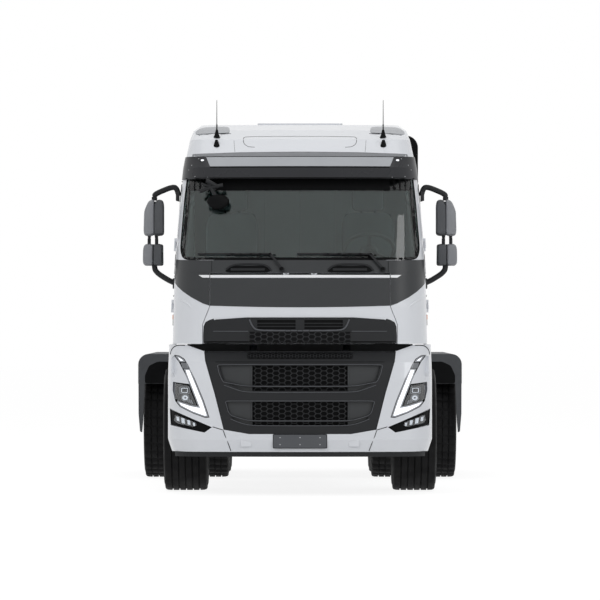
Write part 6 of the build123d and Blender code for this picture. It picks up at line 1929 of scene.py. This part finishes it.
# %% Axle covers, engine and radiator
covers = bmesh.new()
cover_bolts = bmesh.new()
for tyre_name in ("tyres_mid_left", "tyres_rear_left"):
    low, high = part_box(tyre_name)
    axle_y = (low.y + high.y) / 2
    driveline_skin = skin_of("driveline")
    VIEWS["axle_back"] = (Vector((0, -1, 0)), lambda u, v, start=axle_y + 0.5: Vector((u, start, v)))
    face = on_skin(driveline_skin, "axle_back", 0.0, TYRE_RADIUS)
    for x, z in circle(0, TYRE_RADIUS, 0.12, 12):
        add_bolt(cover_bolts, on_skin(driveline_skin, "axle_back", x, z), "y", 0.010, 0.010)
    profile = [(face.y - 0.004, POLE), (face.y - 0.004, 0.09), (face.y + 0.004, 0.088),
        (face.y + 0.018, 0.06), (face.y + 0.022, POLE)]
    add_turned(covers, profile, (0, 0, TYRE_RADIUS), "y", 40, closed=False)
piece("axle_covers", covers, casting, "chassis", bevel=0.001)
piece("axle_cover_bolts", cover_bolts, bright_steel, "chassis")
engine_low, engine_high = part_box("engine")
engine_parts = bmesh.new()
for side in (1, -1):
    for k in range(7):
        y = engine_low.y + 0.12 + 0.085 * k
        add_prism(engine_parts, soft_box(y, y + 0.05, 0.95, 1.2, 0.012), "x", side * 0.33, side * 0.345, 0.9)
add_prism(engine_parts, soft_box(-0.24, 0.24, engine_low.y + 0.06, engine_low.y + 0.66, 0.04), "z",
    engine_high.z, engine_high.z + 0.012, 0.96)
add_prism(engine_parts, soft_box(-0.18, 0.18, engine_low.y + 0.1, engine_low.y + 0.6, 0.04), "z", 0.76, 0.742,
    0.9)
piece("engine_ribs_and_cover", engine_parts, casting, "chassis", bevel=0.003)
radiator_low, radiator_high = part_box("radiator")
core = bmesh.new()
for k in range(46):
    z = radiator_low.z + 0.03 + k * (radiator_high.z - radiator_low.z - 0.06) / 45
    add_prism(core, box_outline(radiator_low.x + 0.03, radiator_high.x - 0.03, z - 0.0015, z + 0.0015), "y",
        radiator_low.y, radiator_low.y - 0.004)
piece("radiator_fins", core, bright_steel, "chassis")

# %% [markdown]
# ## Coupling and tail
# The coupling plate is greased, so it is the darkest metal on the truck: grooves in its top hold the
# grease. The tail lamps are one red bar a side, split into cells with an amber one and a clear one.

# %% Coupling grooves and tail lamps
COUPLING_Y = FRONT + 5.0
plate_skin = skin_of("fifth_wheel_plate")
grooves = bmesh.new()
for side in (1, -1):
    for radius in (0.24, 0.33, 0.40):
        arc = []
        for k in range(17):
            turn = math.radians(20 + 100 * k / 16)
            arc.append(on_skin(plate_skin, "top", side * radius * math.sin(turn),
                COUPLING_Y - radius * math.cos(turn) * 0.9, -0.0004))
        add_rod(grooves, arc, 0.0032, sides=6)
piece("coupling_grease_grooves", grooves, black_moulding_and_shade, "coupling_plate")
lamps_low, lamps_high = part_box("tail_lamps")
cells = {"amber": bmesh.new(), "clear": bmesh.new()}
frames = bmesh.new()
for side in (1, -1):
    for kind, x0, x1 in (("amber", 1.06, 1.14), ("clear", 0.79, 0.86)):
        outline = soft_box(side * x0, side * x1, lamps_low.z + 0.012, lamps_high.z - 0.012, 0.01)
        add_prism(cells[kind], outline, "y", lamps_high.y - 0.004, lamps_high.y - 0.0002, 0.97)
    for x in (0.865, 0.96, 1.055):
        add_rod(frames, [(side * x, lamps_high.y - 0.003, lamps_low.z + 0.004),
            (side * x, lamps_high.y - 0.003, lamps_high.z - 0.004)], 0.0028, sides=6)
piece("tail_amber_cells", cells["amber"], amber_lens, "chassis", bevel=0.001)
piece("tail_clear_cells", cells["clear"], silver_film, "chassis", bevel=0.001)
piece("tail_cell_frames", frames, seal_rubber, "chassis")

# %% Mudguards, roof hatch, intake, cab back and sockets
flaps = bmesh.new()
guard_low, guard_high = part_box("rear_mudguards")
for side in (1, -1):
    flap = soft_box(side * 0.66, side * 1.48, 0.62, 0.93, 0.02)
    add_prism(flaps, flap, "y", guard_high.y - 0.014, guard_high.y - 0.008, 1.0)
    for k in range(8):
        x = side * (0.72 + 0.1 * k)
        add_rod(flaps, [(x, guard_high.y - 0.006, 0.66), (x, guard_high.y - 0.006, 0.88)], 0.004, sides=6)
piece("rear_spray_flaps", flaps, tyre_rubber, "chassis")
arches = bmesh.new()
for side in (1, -1):
    for x0, x1 in ((1.115, 1.462), (0.705, 1.045)):
        arch = [(side * x0, 0.902), (side * x0, 1.0), (side * (x0 + 0.05), 1.075),
            (side * (x0 + 0.12), 1.108), (side * (x1 - 0.12), 1.108), (side * (x1 - 0.04), 1.07),
            (side * x1, 0.98), (side * x1, 0.902)]
        add_prism(arches, rounded(arch, 0.02), "y", guard_low.y + 0.001, guard_low.y - 0.001)
piece("rear_guard_arches", arches, black_moulding_and_shade, "chassis")
LEG = [(1.463, 0.905), (1.523, 0.905), (1.522, 0.62), (1.508, 0.45), (1.488, 0.44), (1.478, 0.55)]
legs = bmesh.new()
for side in (1, -1):
    add_prism(legs, on_side(LEG, side), "y", guard_low.y + 0.001, guard_low.y + 0.026)
    add_prism(legs, on_side([(1.05, 0.905), (1.108, 0.905), (1.1, 0.5), (1.058, 0.5)], side), "y", guard_low.y
        + 0.001, guard_low.y + 0.026)
piece("rear_guard_legs", legs, guard_moulding, "chassis", bevel=0.003)
beads = bmesh.new()
for side in (1, -1):
    for z, drawn_in in ((0.93, 0.006), (1.02, 0.006), (1.1, 0.018)):
        x = side * (guard_high.x - drawn_in)
        add_rod(beads, [(x, guard_low.y + along, z) for along in (0.04, 0.10)], 0.004, sides=8)
piece("rear_guard_beads", beads, guard_moulding, "chassis")
hatch_skin = skin_of("roof_hatch")
hatch_low, hatch_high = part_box("roof_hatch")
pane = soft_box(hatch_low.x + 0.06, hatch_high.x - 0.06, hatch_low.y + 0.05, hatch_high.y - 0.05, 0.04)
draped_piece("roof_hatch_pane", pane, hatch_skin, "top", satin_panel, "hatch", thick=0.002, stand=0.0015,
    step=0.2)
intake_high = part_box("air_intake")[1]
grille = bmesh.new()
for k in range(9):
    z = intake_high.z - 0.34 + 0.03 * k
    add_rod(grille, [(0.95, intake_high.y - 0.001, z), (1.04, intake_high.y - 0.001, z)], 0.0045, sides=6)
piece("air_intake_slats", grille, dark_moulding, "cab")
back_parts = bmesh.new()
for x in (-0.6, 0.0, 0.6):
    add_rod(back_parts, [on_skin(back_skin, "rear", x, z) for z in (1.5, 2.0, 2.6)], 0.006, sides=8)
piece("cab_back_swages", back_parts, cab_lacquer, "cab", slot="cab_paint")
sockets = bmesh.new()
for x in (-0.3, -0.22, -0.14):
    add_turned(sockets, [(-0.02, POLE), (-0.02, 0.02), (0.02, 0.02), (0.026, 0.012), (0.026, POLE)],
        (x, FRONT + 2.052, 1.55), "y", 20, closed=False)
piece("trailer_sockets", sockets, bright_steel, "cab")
print("chassis done")
